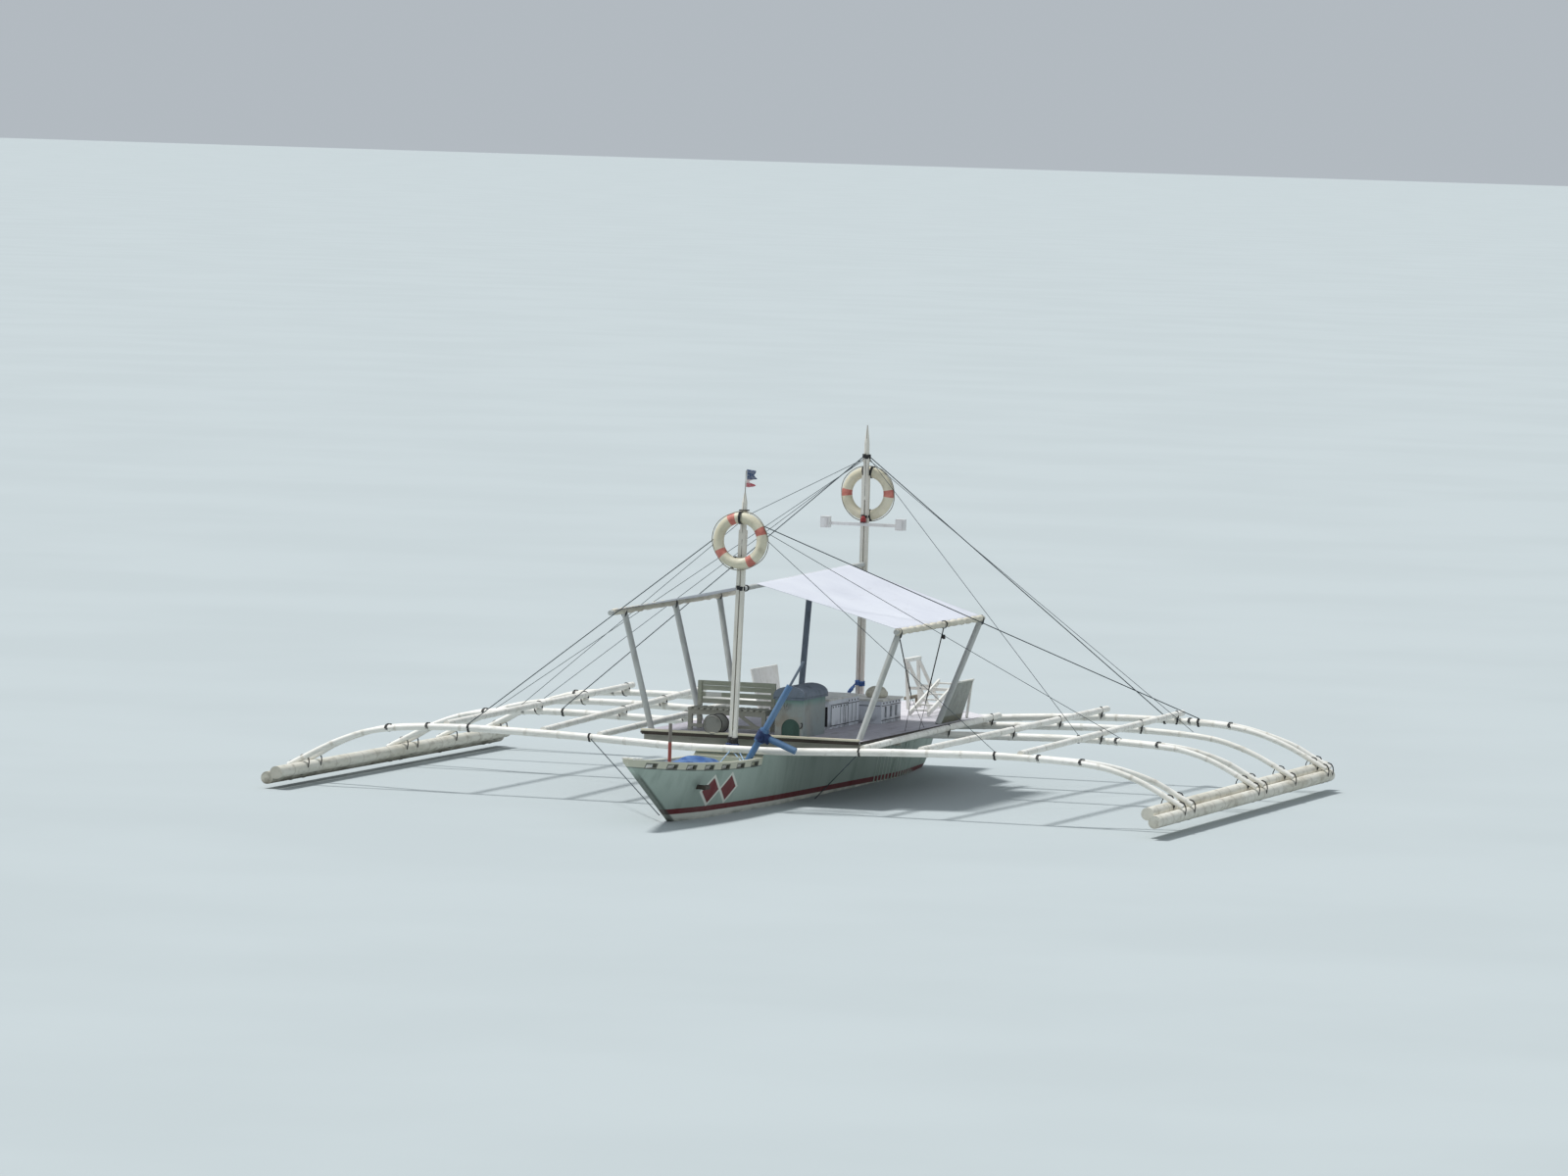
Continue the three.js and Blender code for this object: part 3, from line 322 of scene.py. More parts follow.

# white boards line the inside of the bulwarks and show through the scuppers: painted light, their white
# stands in for the sunlit well behind the holes
lit_well_boards, stations = [], np.linspace(3.62, 6.3, 16)
for side in (-1, 1):
    for aft, fore in zip(stations, stations[1:]):
        corners = []
        for inset in (0.04, 0.05):
            for x, up in ((aft, 0.006), (fore, 0.006), (fore, 0.112), (aft, 0.112)):
                z = hull_top(x) - WELL_DEPTH + up
                corners.append((x, side * (hull_side(x, z) - inset), z))
        lit_well_boards.append(corners)
planks("bulwark_boards_for_lit_well", lit_well_boards, white_paint, 0.001)

# Deck: painted boards in fore-and-aft runs, a cream coping and a tarred strip at the fore edge,
# and a dark rubbing strip along both sides.
DECK_BOARD = 0.145
deck_paint, shader, place, colour = worn_finish(
    "grey deck paint on boards", "#bcb8bf", "#a29da6", "#857c74", (0.35, 1.4, 1), 0.6, 0.7)
axes = axes_of(place)
colour = tint(colour, "#dbd8da", times(ramp(axes["X"], 0.2, -2.4), 0.7))
seam = times(band(repeat(axes["Y"], DECK_BOARD), 0.0, 0.035, 0.01), band(axes["Z"], 0.81, 0.83))
colour = tint(colour, "#6f6a6c", times(seam, 0.6))
feed(shader, {"Base Color": colour})
paint_node("deck", deck_paint)

timber_paint = plain_paint("grey weathered timber", "#a8a59a", "#8b867a", "#5c564c", (1, 0.25, 1), 0.7, 0.8)
for k in range(5):
    paint_node(f"crossbeam_{k + 1}", timber_paint)

coping = [board(2.535, 2.605, -1.38, 1.38, 0.8155, 0.842)]
planks("deck_coping", coping, cream_timber, 0.008)
strips = [board(2.5605, 2.59, -1.37, 1.37, 0.775, 0.815)]
for side in (-1, 1):
    strips.append(board(-2.74, 2.55, side * 1.3805, side * 1.398, 0.786, 0.812))
planks("deck_rubbing_strips", strips, tarred_timber, 0.003)


# Booms, floats and rails: painted bamboo. Poles are grown along their lines with a low ring at
# each joint of the cane; the booms' second tubes lie against them and splay out to the floats.
def tree_of(name, sizes):
    """A new geometry tree with named sizes: the tree, its inputs and its output node"""
    tree = bpy.data.node_groups.new(name, "GeometryNodeTree")
    tree.interface.new_socket("Geometry", in_out="INPUT", socket_type="NodeSocketGeometry")
    tree.interface.new_socket("Geometry", in_out="OUTPUT", socket_type="NodeSocketGeometry")
    for size, kind, value in sizes:
        tree.interface.new_socket(size, in_out="INPUT", socket_type=kind).default_value = value
    tree.interface.new_socket("Finish", in_out="INPUT", socket_type="NodeSocketMaterial")
    return tree, tree.nodes.new("NodeGroupInput").outputs, tree.nodes.new("NodeGroupOutput")


def strung(tree, sizes):
    """A tree's lines as curves in even steps, and the length that has run along them"""
    line = step(tree, "GeometryNodeMeshToCurve", {"Mesh": sizes["Geometry"]}).outputs[0]
    line = step(tree, "GeometryNodeResampleCurve", {"Curve": line, "Length": sizes["Step"]}, mode="LENGTH")
    return line.outputs[0], step(tree, "GeometryNodeSplineParameter", {}).outputs["Length"]


def dressed(tree, shape, sizes, out):
    """Gives a tree's shape its finish, as plain mesh"""
    plain = step(tree, "GeometryNodeRealizeInstances", {"Geometry": shape}).outputs[0]
    done = step(tree, "GeometryNodeSetMaterial", {"Geometry": plain, "Material": sizes["Finish"]})
    feed(out, {0: done.outputs[0]})


def swept(tree, line, name, value, swell, sizes, out):
    """Sweeps a round section along curves, swelled by a pattern, and keeps a value along them"""
    line = step(tree, "GeometryNodeStoreNamedAttribute", {"Geometry": line, "Name": name, "Value": value})
    thick = step(tree, "GeometryNodeInputNamedAttribute", {"Name": "thick"}).outputs[0]
    section = step(tree, "GeometryNodeCurvePrimitiveCircle", {"Resolution": sizes["Sides"], "Radius": 1.0})
    line = step(tree, "GeometryNodeSetCurveRadius", {"Curve": line.outputs[0], "Radius": times(thick, swell)})
    inputs = {"Curve": line.outputs[0], "Profile Curve": section.outputs[0], "Fill Caps": True}
    body = step(tree, "GeometryNodeCurveToMesh", inputs)
    if "Scale" in body.inputs:
        feed(body, {"Scale": step(tree, "GeometryNodeInputRadius", {}).outputs[0]})
    dressed(tree, body.outputs[0], sizes, out)


cane, sizes, out = tree_of("bamboo cane", [
    ("Sides", "NodeSocketInt", 16), ("Joint Spacing", "NodeSocketFloat", 0.42),
    ("Joint Height", "NodeSocketFloat", 0.05), ("Step", "NodeSocketFloat", 0.02)])
line, run = strung(cane, sizes)
away = maths("ABSOLUTE", maths("SUBTRACT", repeat(run, sizes["Joint Spacing"]), 0.5))
away = times(away, sizes["Joint Spacing"])
ring = ramp(away, 0.0, 0.03, 1.0, 0.0, interpolation_type="SMOOTHSTEP")
swept(cane, line, "joint", ring, maths("ADD", times(ring, sizes["Joint Height"]), 1.0), sizes, out)


def grown(name, tree, lines, thickness, material, sizes=None, sharp=40, body="canoe"):
    """Runs a geometry tree along lines of points and settles the plain mesh that it makes"""
    points = [p for line in lines for p in line]
    edges, start = [], 0
    for line in lines:
        edges += [(start + k, start + k + 1) for k in range(len(line) - 1)]
        start += len(line)
    mesh = bpy.data.meshes.new(name + "_line")
    mesh.from_pydata([tuple(p) for p in points], edges, [])
    wide = mesh.attributes.new("thick", "FLOAT", "POINT")
    wide.data.foreach_set("value", [thickness(p) if callable(thickness) else thickness for p in points])
    guide = bpy.data.objects.new(name + "_line", mesh)
    scene.collection.objects.link(guide)
    growth = guide.modifiers.new("growth", "NODES")
    growth.node_group = tree
    given = {"Finish": material, **(sizes or {})}
    for item in tree.interface.items_tree:
        if item.item_type == "SOCKET" and item.in_out == "INPUT" and item.name in given:
            growth[item.identifier] = given[item.name]
    made = bpy.data.meshes.new_from_object(guide.evaluated_get(bpy.context.evaluated_depsgraph_get()))
    bpy.data.objects.remove(guide)
    return settle(name, made, material, body, sharp)


def smooth_line(points, parts=10):
    """The line that a bent pole takes through given points"""
    pts = [Vector(p) for p in points]
    pts = [2 * pts[0] - pts[1], *pts, 2 * pts[-1] - pts[-2]]
    line = []
    for k in range(1, len(pts) - 2):
        a, b, c, d = pts[k - 1:k + 3]
        r, s, t = ((q - p).length ** 0.5 for p, q in ((a, b), (b, c), (c, d)))
        m = ((b - a) / r - (c - a) / (r + s) + (c - b) / s) * s
        n = ((c - b) / s - (d - b) / (s + t) + (d - c) / t) * s
        for j in range(parts):
            u = j / parts
            h = u * u * (3 - 2 * u)
            line.append((1 - h) * b + h * c + (u ** 3 - 2 * u * u + u) * m + (u ** 3 - u * u) * n)
    return line + [pts[-2]]


def straight(a, b, parts=24):
    """Even steps from one point to another"""
    return [Vector(a).lerp(Vector(b), k / parts) for k in range(parts + 1)]


def nearest(line, y):
    """The point of a line that is nearest to a place across the boat"""
    return min(line, key=lambda p: abs(p.y - y))


# each boom's x, the lift of its crown, and how far aft its second tubes splay
BOOMS = {"boom_1": (3.37, 0.0, 0.43), "boom_2": (-0.08, -0.012, 0.37), "boom_3": (-1.88, 0.008, 0.0),
         "boom_4": (-3.53, 0.026, 0.23)}
# each float's y, its height, and the x of its fore and aft ends by side
FLOATS = {"inner": (5.425, 0.208, {1: (4.27, -4.2), -1: (4.265, -3.95)}),
          "outer": (5.568, 0.1332, {1: (4.47, -3.88), -1: (4.19, -4.08)})}
SIDES = ((1, "port"), (-1, "starboard"))
RAISE = {1: 0.077, -1: 0}
BOOM_SEAT = HULL_DECK_Z + 0.0468
FLOAT_RADIUS, BOOM_TIP, SEAT_GAP = 0.076, 0.034, 0.0003
FLOAT_SLOPE = math.atan2(0.208 - 0.132, 0.143)


def over_floats(y):
    """Height of the line that a boom's end takes over both float tubes"""
    seat = FLOAT_RADIUS + BOOM_TIP + SEAT_GAP
    inner_y, inner_z, _ = FLOATS["inner"]
    fall = (y - inner_y - seat * math.sin(FLOAT_SLOPE)) * math.tan(FLOAT_SLOPE)
    return inner_z + seat * math.cos(FLOAT_SLOPE) - fall


def boom_profile(lift):
    """Half of a boom's arch, from beside the hull to over the floats"""
    crown = [(0.44, BOOM_SEAT), (0.7, BOOM_SEAT + 0.004), (1.25, 0.737), (1.887, 0.765), (2.6, 0.785),
             (3.3, 0.797), (3.8, 0.786), (4.28, 0.748), (4.64, 0.68), (4.93, 0.578), (5.15, 0.478)]
    crown = [(y, z + lift * (ease(y, 1.3, 2.5) - ease(y, 4.2, 4.9))) for y, z in crown]
    return crown + [(y, over_floats(y)) for y in (5.36, 5.48, 5.61)]


def boom_thickness(p):
    """A boom tapers towards its tips"""
    return 0.046 - 0.012 * ease(abs(p[1]), 2.4, 5.2)


cane_paint, shader, place, colour = worn_finish(
    "oil paint on bamboo", "#f1efe8", "#dcd8cc", "#97907f", (1.5, 0.5, 1.5), 0.5, 0.5)
colour = tint(colour, "#9c927f", times(attribute(place, "joint"), grain(place, 14.0), 0.5))
feed(shader, {"Base Color": colour})

boom_lines, tied_tubes = {}, []
for name, (x, lift, splay) in BOOMS.items():
    profile = boom_profile(lift)
    port = [(x, y, z + RAISE[1] * ease(y, 3.9, 5.36)) for y, z in profile]
    whole = smooth_line([(x, -y, z) for y, z in reversed(profile)] + [(x, 0, BOOM_SEAT)] + port)
    boom_lines[name] = whole
    lines = [whole]
    tied_tubes.append((x, (1, -1), whole))
    start = boom_thickness((0, 4.0)) + BOOM_TIP - 0.008
    for side in ((1, -1) if splay else ()):
        second = []
        for y in (3.76, 3.95, 4.2, 4.48, 4.75, 5.0, 5.18):
            aft = start + (splay - start) * ease(y, 3.85, 5.5)
            second.append((x - aft, side * y, nearest(whole, side * y).z + 0.004))
        second += [(x - splay, side * y, over_floats(y) + RAISE[side]) for y in (5.36, 5.48, 5.61)]
        lines.append(smooth_line(second))
        tied_tubes.append((x, (side,), lines[-1]))
    piece = grown(f"{name}_canes", cane, lines, boom_thickness, cane_paint)
    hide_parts(name)

float_paint, shader, place, colour = worn_finish(
    "stained paint on float bamboo", "#dedbcf", "#c3bdab", "#857a68", (0.5, 1.5, 1.5), 0.7, 0.6)
axes = axes_of(place)
level = maths("ADD", axes["Z"], times(grain(place, 5.0, (0.6, 1, 1), 6.0, 0.3, 0.7), 0.09))
colour = tint(colour, "#7f7766", times(band(level, -1.0, 0.155, 0.04), 0.75))
colour = tint(colour, "#5f5b4e", times(band(level, -1.0, 0.1, 0.03), 0.7))
end = times(band(axes["X"], 4.25, 5.0, 0.2), band(axes["Y"], -6.0, -5.5, 0.02))
colour = tint(colour, "#4a463c", times(end, grain(place, 18.0, (1, 1, 1), 5.0, 0.4, 0.6)))
colour = tint(colour, "#8a806c", times(attribute(place, "joint"), 0.35))
feed(shader, {"Base Color": colour})

for side, word in SIDES:
    for row, (y, z, ends) in FLOATS.items():
        fore, aft = [(x, side * y, z + RAISE[side]) for x in ends[side]]
        piece = grown(f"float_{word}_{row}_cane", cane, [straight(aft, fore, 40)], 0.0757, float_paint,
                      {"Sides": 24, "Joint Spacing": 0.47, "Joint Height": 0.018})
        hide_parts(f"float_{word}_{row}")

# each rail's y at its fore and aft ends, its aft end's x and its fore end's height
RAILS = {"inner": (1.65, 1.72, -2.2, 0.795), "middle": (2.37, 2.68, -3.8, 0.815),
         "outer": (3.6, 3.66, -3.8, 0.832)}
rail_lines = []
for rail, (fore_y, aft_y, aft_x, fore_z) in RAILS.items():
    for side, word in SIDES:
        _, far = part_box(f"rail_{rail}_{word}")
        line = straight((far.x, side * fore_y, fore_z), (aft_x, side * aft_y, far.z - 0.041), 30)
        rail_lines.append((side, line))
        piece = grown(f"rail_{rail}_{word}_cane", cane, [line], 0.0398, cane_paint, {"Joint Spacing": 0.38})
        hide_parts(f"rail_{rail}_{word}")

# Lashings: dark tarred cord in tight turns where rails cross booms, where second tubes start and
# where each tube is tied down over both floats.
cord, sizes, out = tree_of("laid cord", [("Sides", "NodeSocketInt", 7), ("Step", "NodeSocketFloat", 0.02)])
line, run = strung(cord, sizes)
swept(cord, line, "run", run, 1.0, sizes, out)


def cord_finish(name, shade, worn, strand=0.012):
    """Laid rope: its strands turn once in a strand's length, drawn coarse enough to show"""
    made, shader, place = finish_named(name)
    lay = repeat(attribute(place, "run"), strand)
    colour = tint(shade, worn, times(grain(place, 30.0), 0.6))
    colour = tint(colour, "#15161a", times(band(lay, 0.0, 0.25, 0.1), 0.5))
    feed(shader, {"Base Color": colour, "Roughness": 0.85})
    relief(shader, lay, 0.001)
    return made


def turns(centre, wide, high, along, length, count, parts=14):
    """Turns of cord round one or two poles: half width, half height and shift as vectors"""
    shake = random.Random(1)
    centre, wide, high, along = Vector(centre), Vector(wide), Vector(high), Vector(along)
    line = []
    for k in range(count * parts + 1):
        a, share = math.tau * k / parts, k / (count * parts) - 0.5
        swell = 1 + 0.03 * shake.random()
        line.append(centre + (wide * math.cos(a) + high * math.sin(a)) * swell + along * length * share)
    return line


def level_turns(centre, half_x, half_y, *size):
    """Turns of cord round something that stands upright"""
    return turns(centre, (half_x, 0, 0), (0, half_y, 0), (0, 0, 1), *size)


dark_cord = cord_finish("tarred lashing cord", "#2b2d30", "#4a4742")
windings = []
for side, (fore, *_, aft) in rail_lines:
    for x in [boom[0] for boom in BOOMS.values() if aft.x <= boom[0] <= 3]:
        crossing = fore.lerp(aft, (fore.x - x) / (fore.x - aft.x)) - Vector((0, 0, 0.04))
        skew = Vector((1, side * 0.6, 0)).normalized()
        windings.append(turns(crossing, skew * 0.06, (0, 0, 0.086), skew.cross((0, 0, 1)), 0.022, 3))
for x, sides, line in tied_tubes:
    for side in sides:
        for y, z, _ in FLOATS.values():
            near = nearest(line, side * y)
            low, high = z - 0.079 + RAISE[side], near.z + 0.037
            windings.append(turns((near.x, side * y, (high + low) / 2), (0, 0.081, 0.02),
                                  (0, 0, (high - low) / 2), (1, 0, 0), 0.03, 3))
    # a second tube, which lies on one side only, is also tied to its boom
    for y in ((3.83, 4.35) if len(sides) == 1 else ()):
        near = nearest(line, side * y)
        windings.append(turns(((near.x + x) / 2, side * y, near.z), ((x - near.x) / 2 + 0.043, 0, 0),
                              (0, 0, 0.046), (0, 1, 0), 0.035, 3))
piece = grown("outrigger_lashings", cord, windings, 0.0042, dark_cord, {"Step": 0.024})

# Masts: each of two painted planks with a slot between them, under a cap and a tapered spire. The
# aft mast's foot is stained pink, and cord ties hold the life rings and the stays' heads.
AFT_MAST_X, RAKE = -1.85, 0.0672
mast_paint, shader, place, colour = worn_finish(
    "sea-worn paint on mast planks", "#e4e1d6", "#cbc6b8", "#989184", (2, 2, 0.25), 0.7, 0.6)
axes = axes_of(place)
crack = times(band(axes["Y"], -0.004, 0.003, 0.002), grain(place, 3.0, (1, 1, 1.5), 5.0, 0.42, 0.5))
colour = tint(colour, "#3f3a33", times(crack, 0.85))
foot = times(band(axes["X"], -2.0, -1.7), band(axes["Z"], 0.0, 1.75, 0.25))
colour = tint(colour, "#dfc9c4", times(foot, grain(place, 5.0, (1, 4, 0.4), 4.0, 0.3, 0.6), 0.4))
feed(shader, {"Base Color": colour})
paint_node("fore_mast", mast_paint)
paint_node("aft_mast", mast_paint)


def fore_mast_at(z):
    """The fore mast's own axis at a height"""
    return Vector((3.24 - math.tan(RAKE) * (z - 0.6653), 0, z))


def aft_mast_at(z):
    """The aft mast's own axis at a height"""
    return Vector((AFT_MAST_X, 0, z))


ties = [level_turns(fore_mast_at(2.62), 0.036, 0.053, 0.05, 4),
        level_turns(fore_mast_at(3.45), 0.036, 0.04, 0.05, 5),
        level_turns(fore_mast_at(0.8), 0.045, 0.062, 0.09, 6),
        level_turns(aft_mast_at(4.05), 0.044, 0.048, 0.05, 5),
        level_turns(aft_mast_at(3.3), 0.036, 0.053, 0.03, 3)]
grown("mast_ties", cord, ties, 0.007, dark_cord)

blue_cord = cord_finish("blue laid rope", "#2b4a86", "#5d7fae")
loose_end = [(-1.815, -0.05, 1.2), (-1.8, -0.09, 1.15), (-1.8, -0.13, 1.03), (-1.8, -0.11, 0.95),
             (-1.79, -0.14, 0.87)]
knot = [level_turns(aft_mast_at(1.21), 0.038, 0.055, 0.06, 4),
        turns((-1.81, -0.1, 1.13), (0.03, 0.01, 0), (0, 0.03, 0.035), (0.3, 1, 0.2), 0.05, 3), loose_end]
grown("mast_rope_tie", cord, knot, 0.011, blue_cord)
cap = fore_mast_at(3.542)
plate = [board(cap.x - 0.05, cap.x + 0.05, -0.052, 0.052, cap.z, cap.z + 0.014)]
planks("fore_mast_cap_plate", plate, tarred_timber, 0.003)


# Flag: a scrap of cotton on a thin staff over the fore mast, blue above and red below, with its
# middle torn away.
def woven(name, corners, wide, material, thickness, offset=-1.0, sharp=80):
    """A thin sheet over points that lie in rows, each row a number of points wide"""
    faces = [(k - wide - 1, k - 1, k, k - wide) for k in range(wide, len(corners)) if k % wide]
    mesh = bpy.data.meshes.new(name)
    mesh.from_pydata(corners, [], faces)
    made = settle(name, mesh, material, sharp=sharp)
    solid = made.modifiers.new("thickness", "SOLIDIFY")
    solid.thickness, solid.offset = thickness, offset
    return made


# threads lie 1 mm apart on the real cloth and are drawn 6 mm apart to show
THREAD = 0.006
flag_cloth, shader, place = finish_named("faded cotton flag")
high = axes_of(place)["Z"]
colour = tint("#e4c9c6", "#2e4a72", band(high, 3.915, 4.2, 0.006))
colour = tint(colour, "#c4606a", band(high, 3.5, 3.875, 0.006))
colour = tint(colour, "#d8d2cc", times(grain(place, 40.0), 0.3))
feed(shader, {"Base Color": colour, "Roughness": 0.9})
relief(shader, repeat(high, THREAD), 0.0006)
# heights down the staff, and how far the cloth still reaches from it
edge = [(4.038, 0.102), (4.02, 0.105), (4.0, 0.098), (3.98, 0.088), (3.96, 0.105), (3.94, 0.128),
        (3.925, 0.07), (3.905, 0.034), (3.885, 0.03), (3.87, 0.098), (3.855, 0.108), (3.84, 0.07),
        (3.828, 0.03)]
corners, wide = [], 9
for z, reach in edge:
    for y in [reach * j / (wide - 1) for j in range(wide)]:
        corners.append((3.016 - 0.25 * y + 0.012 * math.sin(38 * y + 25 * z), 0.008 + y, z - 0.12 * y))
flag = woven("torn_flag", corners, wide, flag_cloth, 0.0012, sharp=40)

# Life rings: cream painted foam rings with salmon bands, each with a grab rope held at the bands.
# They carry no lettering.
RING_RADIUS, RING_TUBE = 0.272, 0.0655
ring_paint, shader, place, colour = worn_finish(
    "cream life ring skin", "#dcd6bf", "#c3bba0", "#958b72", (1, 1, 1), 0.6, 0.5)
salmon = tint("#cf8172", "#b8685c", grain(place, 12.0))
colour = tint(colour, salmon, band(attribute(place, "from_band"), -1.0, 0.155, 0.012))
feed(shader, {"Base Color": colour})
ring_cord = cord_finish("worn grab rope", "#8d8776", "#b9b29d")


def from_nearest(angle, others):
    """The angle from one bearing to the nearest of some others"""
    return min(abs((angle - other + math.pi) % math.tau - math.pi) for other in others)


def life_ring(name, centre, lean, bands):
    """A ring of round section that stands across the boat, leaning with its mast"""
    away = Vector((math.cos(lean), 0, math.sin(lean)))
    upright = Vector((-math.sin(lean), 0, math.cos(lean)))
    spoke = lambda a: Vector((0, 1, 0)) * math.cos(a) + upright * math.sin(a)
    bands = sorted(math.radians(b) for b in bands)
    corners, faces, distance = [], [], []
    around, section = 96, 28
    for k in range(around):
        a = math.tau * k / around
        here, there = k * section, (k + 1) % around * section
        for j in range(section):
            b = math.tau * j / section
            out = spoke(a) * (RING_RADIUS + RING_TUBE * math.cos(b))
            corners.append(centre + out + away * RING_TUBE * math.sin(b))
            distance.append(from_nearest(a, bands))
            faces.append((here + j, here + (j + 1) % section, there + (j + 1) % section, there + j))
    mesh = bpy.data.meshes.new(name)
    mesh.from_pydata([tuple(p) for p in corners], [], faces)
    mesh.attributes.new("from_band", "FLOAT", "POINT").data.foreach_set("value", distance)
    shape = bmesh.new()
    shape.from_mesh(mesh)
    bmesh.ops.recalc_face_normals(shape, faces=shape.faces)
    shape.to_mesh(mesh)
    shape.free()
    made = settle(name + "_skin", mesh, ring_paint)
    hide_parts(name)
    holds = bands if len(bands) > 2 else [math.radians(b) for b in (0, 90, 180, 270)]
    rope = []
    for k in range(145):
        a = math.tau * k / 144 + holds[0]
        slack = 0.01 * min(1, from_nearest(a, holds) * 2)
        rope.append(centre + spoke(a) * (0.343 + slack) + away * 0.02 * math.sin(3 * a))
    grown(name + "_grab_rope", cord, [rope], 0.0055, ring_cord)


reach = Vector((0.03 / math.cos(RAKE) + 0.0666, 0, 0))
fore_ring, aft_ring = fore_mast_at(3.19) + reach, aft_mast_at(3.58) - reach
life_ring("fore_life_ring", fore_ring, RAKE, (24, 113, 214, 301))
life_ring("aft_life_ring", aft_ring, 0.0, (2, 178))
ring_ties = []
for centre, angles in ((fore_ring, (-105, 90)), (aft_ring, (80, 100, -82))):
    for a in [math.radians(angle) for angle in angles]:
        spoke = Vector((0, math.cos(a), math.sin(a)))
        ring_ties.append(turns(centre + spoke * RING_RADIUS, spoke * 0.071, (0.071, 0, 0),
                               spoke.cross((1, 0, 0)), 0.03, 3))
grown("life_ring_ties", cord, ring_ties, 0.006, dark_cord)

# Spreader with its box lamps, and the masthead light: white enamel, white lamp faces, and a red
# glass under a dark rim.
lamp_white = plain_paint("white enamel on lamp boxes", "#e6e5e3", "#cdc9c4", "#a08f88", (1, 1, 0.4), 0.5, 0.4)
paint_node("spreader", lamp_white)
red_glass, shader, place = finish_named("red lamp glass")
colour = tint("#8e2a2a", "#3c1518", band(axes_of(place)["Z"], 3.2, 3.235, 0.004))
feed(shader, {"Base Color": colour, "Roughness": 0.2})
relief(shader, grain(place, 90.0), 0.0005)
paint_node("mast_light", red_glass)
panes = [board(-1.7085, -1.702, y - 0.04, y + 0.04, 3.16, 3.27) for y in (-0.49, 0.49)]
planks("lamp_faces", panes, lamp_white, 0.002)

# Awning poles and posts: round poles in old grey paint. The posts lean out from the deck's edges,
# and the post on the casing roof under the ridge is dark slate as painted shade, for the awning's shadow.
pole_paint = plain_paint("old grey paint on poles", "#c3c5c2", "#a5a7a0", "#7a7870", (1, 1, 0.3), 0.6, 0.6)
slate_paint = plain_paint("slate grey paint", "#747e8b", "#5d6671", "#4b4f55", (1, 1, 0.5), 0.6, 0.65)
POLE_RADIUS, POST_RADIUS, POST_FOOT_Y, POST_FOOT_Z = 0.0298, 0.0378, 1.305, 0.8155
RIDGE = (Vector((3.074, 0, 2.608)), Vector((-1.819, 0, 2.7)))
EAVES = {"port": (Vector((2.21, 1.68, 2.125)), Vector((-1.5, 1.68, 2.12))),
         "starboard": (Vector((2.972, -1.68, 2.24)), Vector((-1.95, -1.68, 2.275)))}
# each post's side, and the x of its top on the eave pole and of its foot on the deck
POSTS = {"post_port_1": ("port", 2.06, 2.35), "post_port_2": ("port", -1.42, -0.93),
         "post_starboard_1": ("starboard", 2.45, 2.4), "post_starboard_2": ("starboard", 0.52, 0.52),
         "post_starboard_3": ("starboard", -1.22, -0.9)}


def along(line, x):
    """The point of a straight pole at a place along the boat"""
    return line[0].lerp(line[1], (line[0].x - x) / (line[0].x - line[1].x))


poles = [("ridge_pole", *RIDGE, POLE_RADIUS), ("eave_pole_port", *EAVES["port"], POLE_RADIUS),
         ("eave_pole_starboard", *EAVES["starboard"], POLE_RADIUS)]
pole_ties = []
for name, (side, top_x, foot_x) in POSTS.items():
    top = along(EAVES[side], top_x)
    poles.append((name, Vector((foot_x, math.copysign(POST_FOOT_Y, top.y), POST_FOOT_Z)), top, POST_RADIUS))
    pole_ties.append(turns(top - Vector((0, 0, 0.02)), (0.03, 0.04, 0), (0, 0, 0.06), (1, 0, 0), 0.03, 3))
poles.append(("post_centre", Vector((0.6, 0, 1.188)), along(RIDGE, 0.306), POST_RADIUS))
for name, a, b, thickness in poles:
    # the post under the ridge takes the dark slate paint as painted shade, standing in for the awning's
    # shadow
    finish = slate_paint if name == "post_centre" else pole_paint
    piece = grown(name + "_round", cane, [straight(a, b)], thickness, finish,
                  {"Joint Spacing": 0.9, "Joint Height": 0.012, "Step": 0.05})
    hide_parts(name)

# a short tie from the hem, and the line from the eave's fore corner to the deck's edge
hem_at, guy_ring = along(EAVES["port"], 0.2), (0.218, 1.3, 1.219)
pole_ties += [turns(along(RIDGE, 2.9), (0, 0.036, 0), (0, 0, 0.036), (1, 0, 0), 0.03, 4),
              turns(hem_at, (0, 0.046, 0), (0, 0, 0.046), (1, 0, 0), 0.02, 2),
              level_turns(hem_at - Vector((0, 0, 0.15)), 0.02, 0.02, 0.05, 5, 8)]
grown("awning_ties", cord, pole_ties, 0.0055, dark_cord)
taut = [straight(hem_at - Vector((0, 0, 0.04)), (0.19, 1.4, 0.8), 12),
        straight(EAVES["port"][0] + Vector((-0.14, 0.0, -0.04)), guy_ring, 20),
        straight(guy_ring, (-0.28, 1.33, 0.8), 12), straight(guy_ring, (0.55, 1.33, 0.8), 12)]
grown("awning_guy_lines", cord, taut, lambda p: 0.0075 if p[2] > 1.22 else 0.003, dark_cord)

# Awning: one sheet of white cloth, laid over the ridge and rolled round both eave poles.
awning_cloth, shader, place = finish_named("white awning cloth")
axes = axes_of(place)
colour = tint("#d6d8df", "#c6c8d2", times(grain(place, 1.2, (1, 1, 1), 5.0, 0.35, 0.7), 0.7))
colour = tint(colour, "#a9a7a6", times(grain(place, 9.0, (0.4, 1.6, 1), 6.0, 0.6, 0.85), 0.3))
feed(shader, {"Base Color": colour, "Roughness": 0.85, "Sheen Weight": 0.1})
weft, warp = [maths("SUBTRACT", repeat(axes[letter], THREAD), 0.5) for letter in ("X", "Y")]
relief(shader, times(weft, warp), 0.0006)

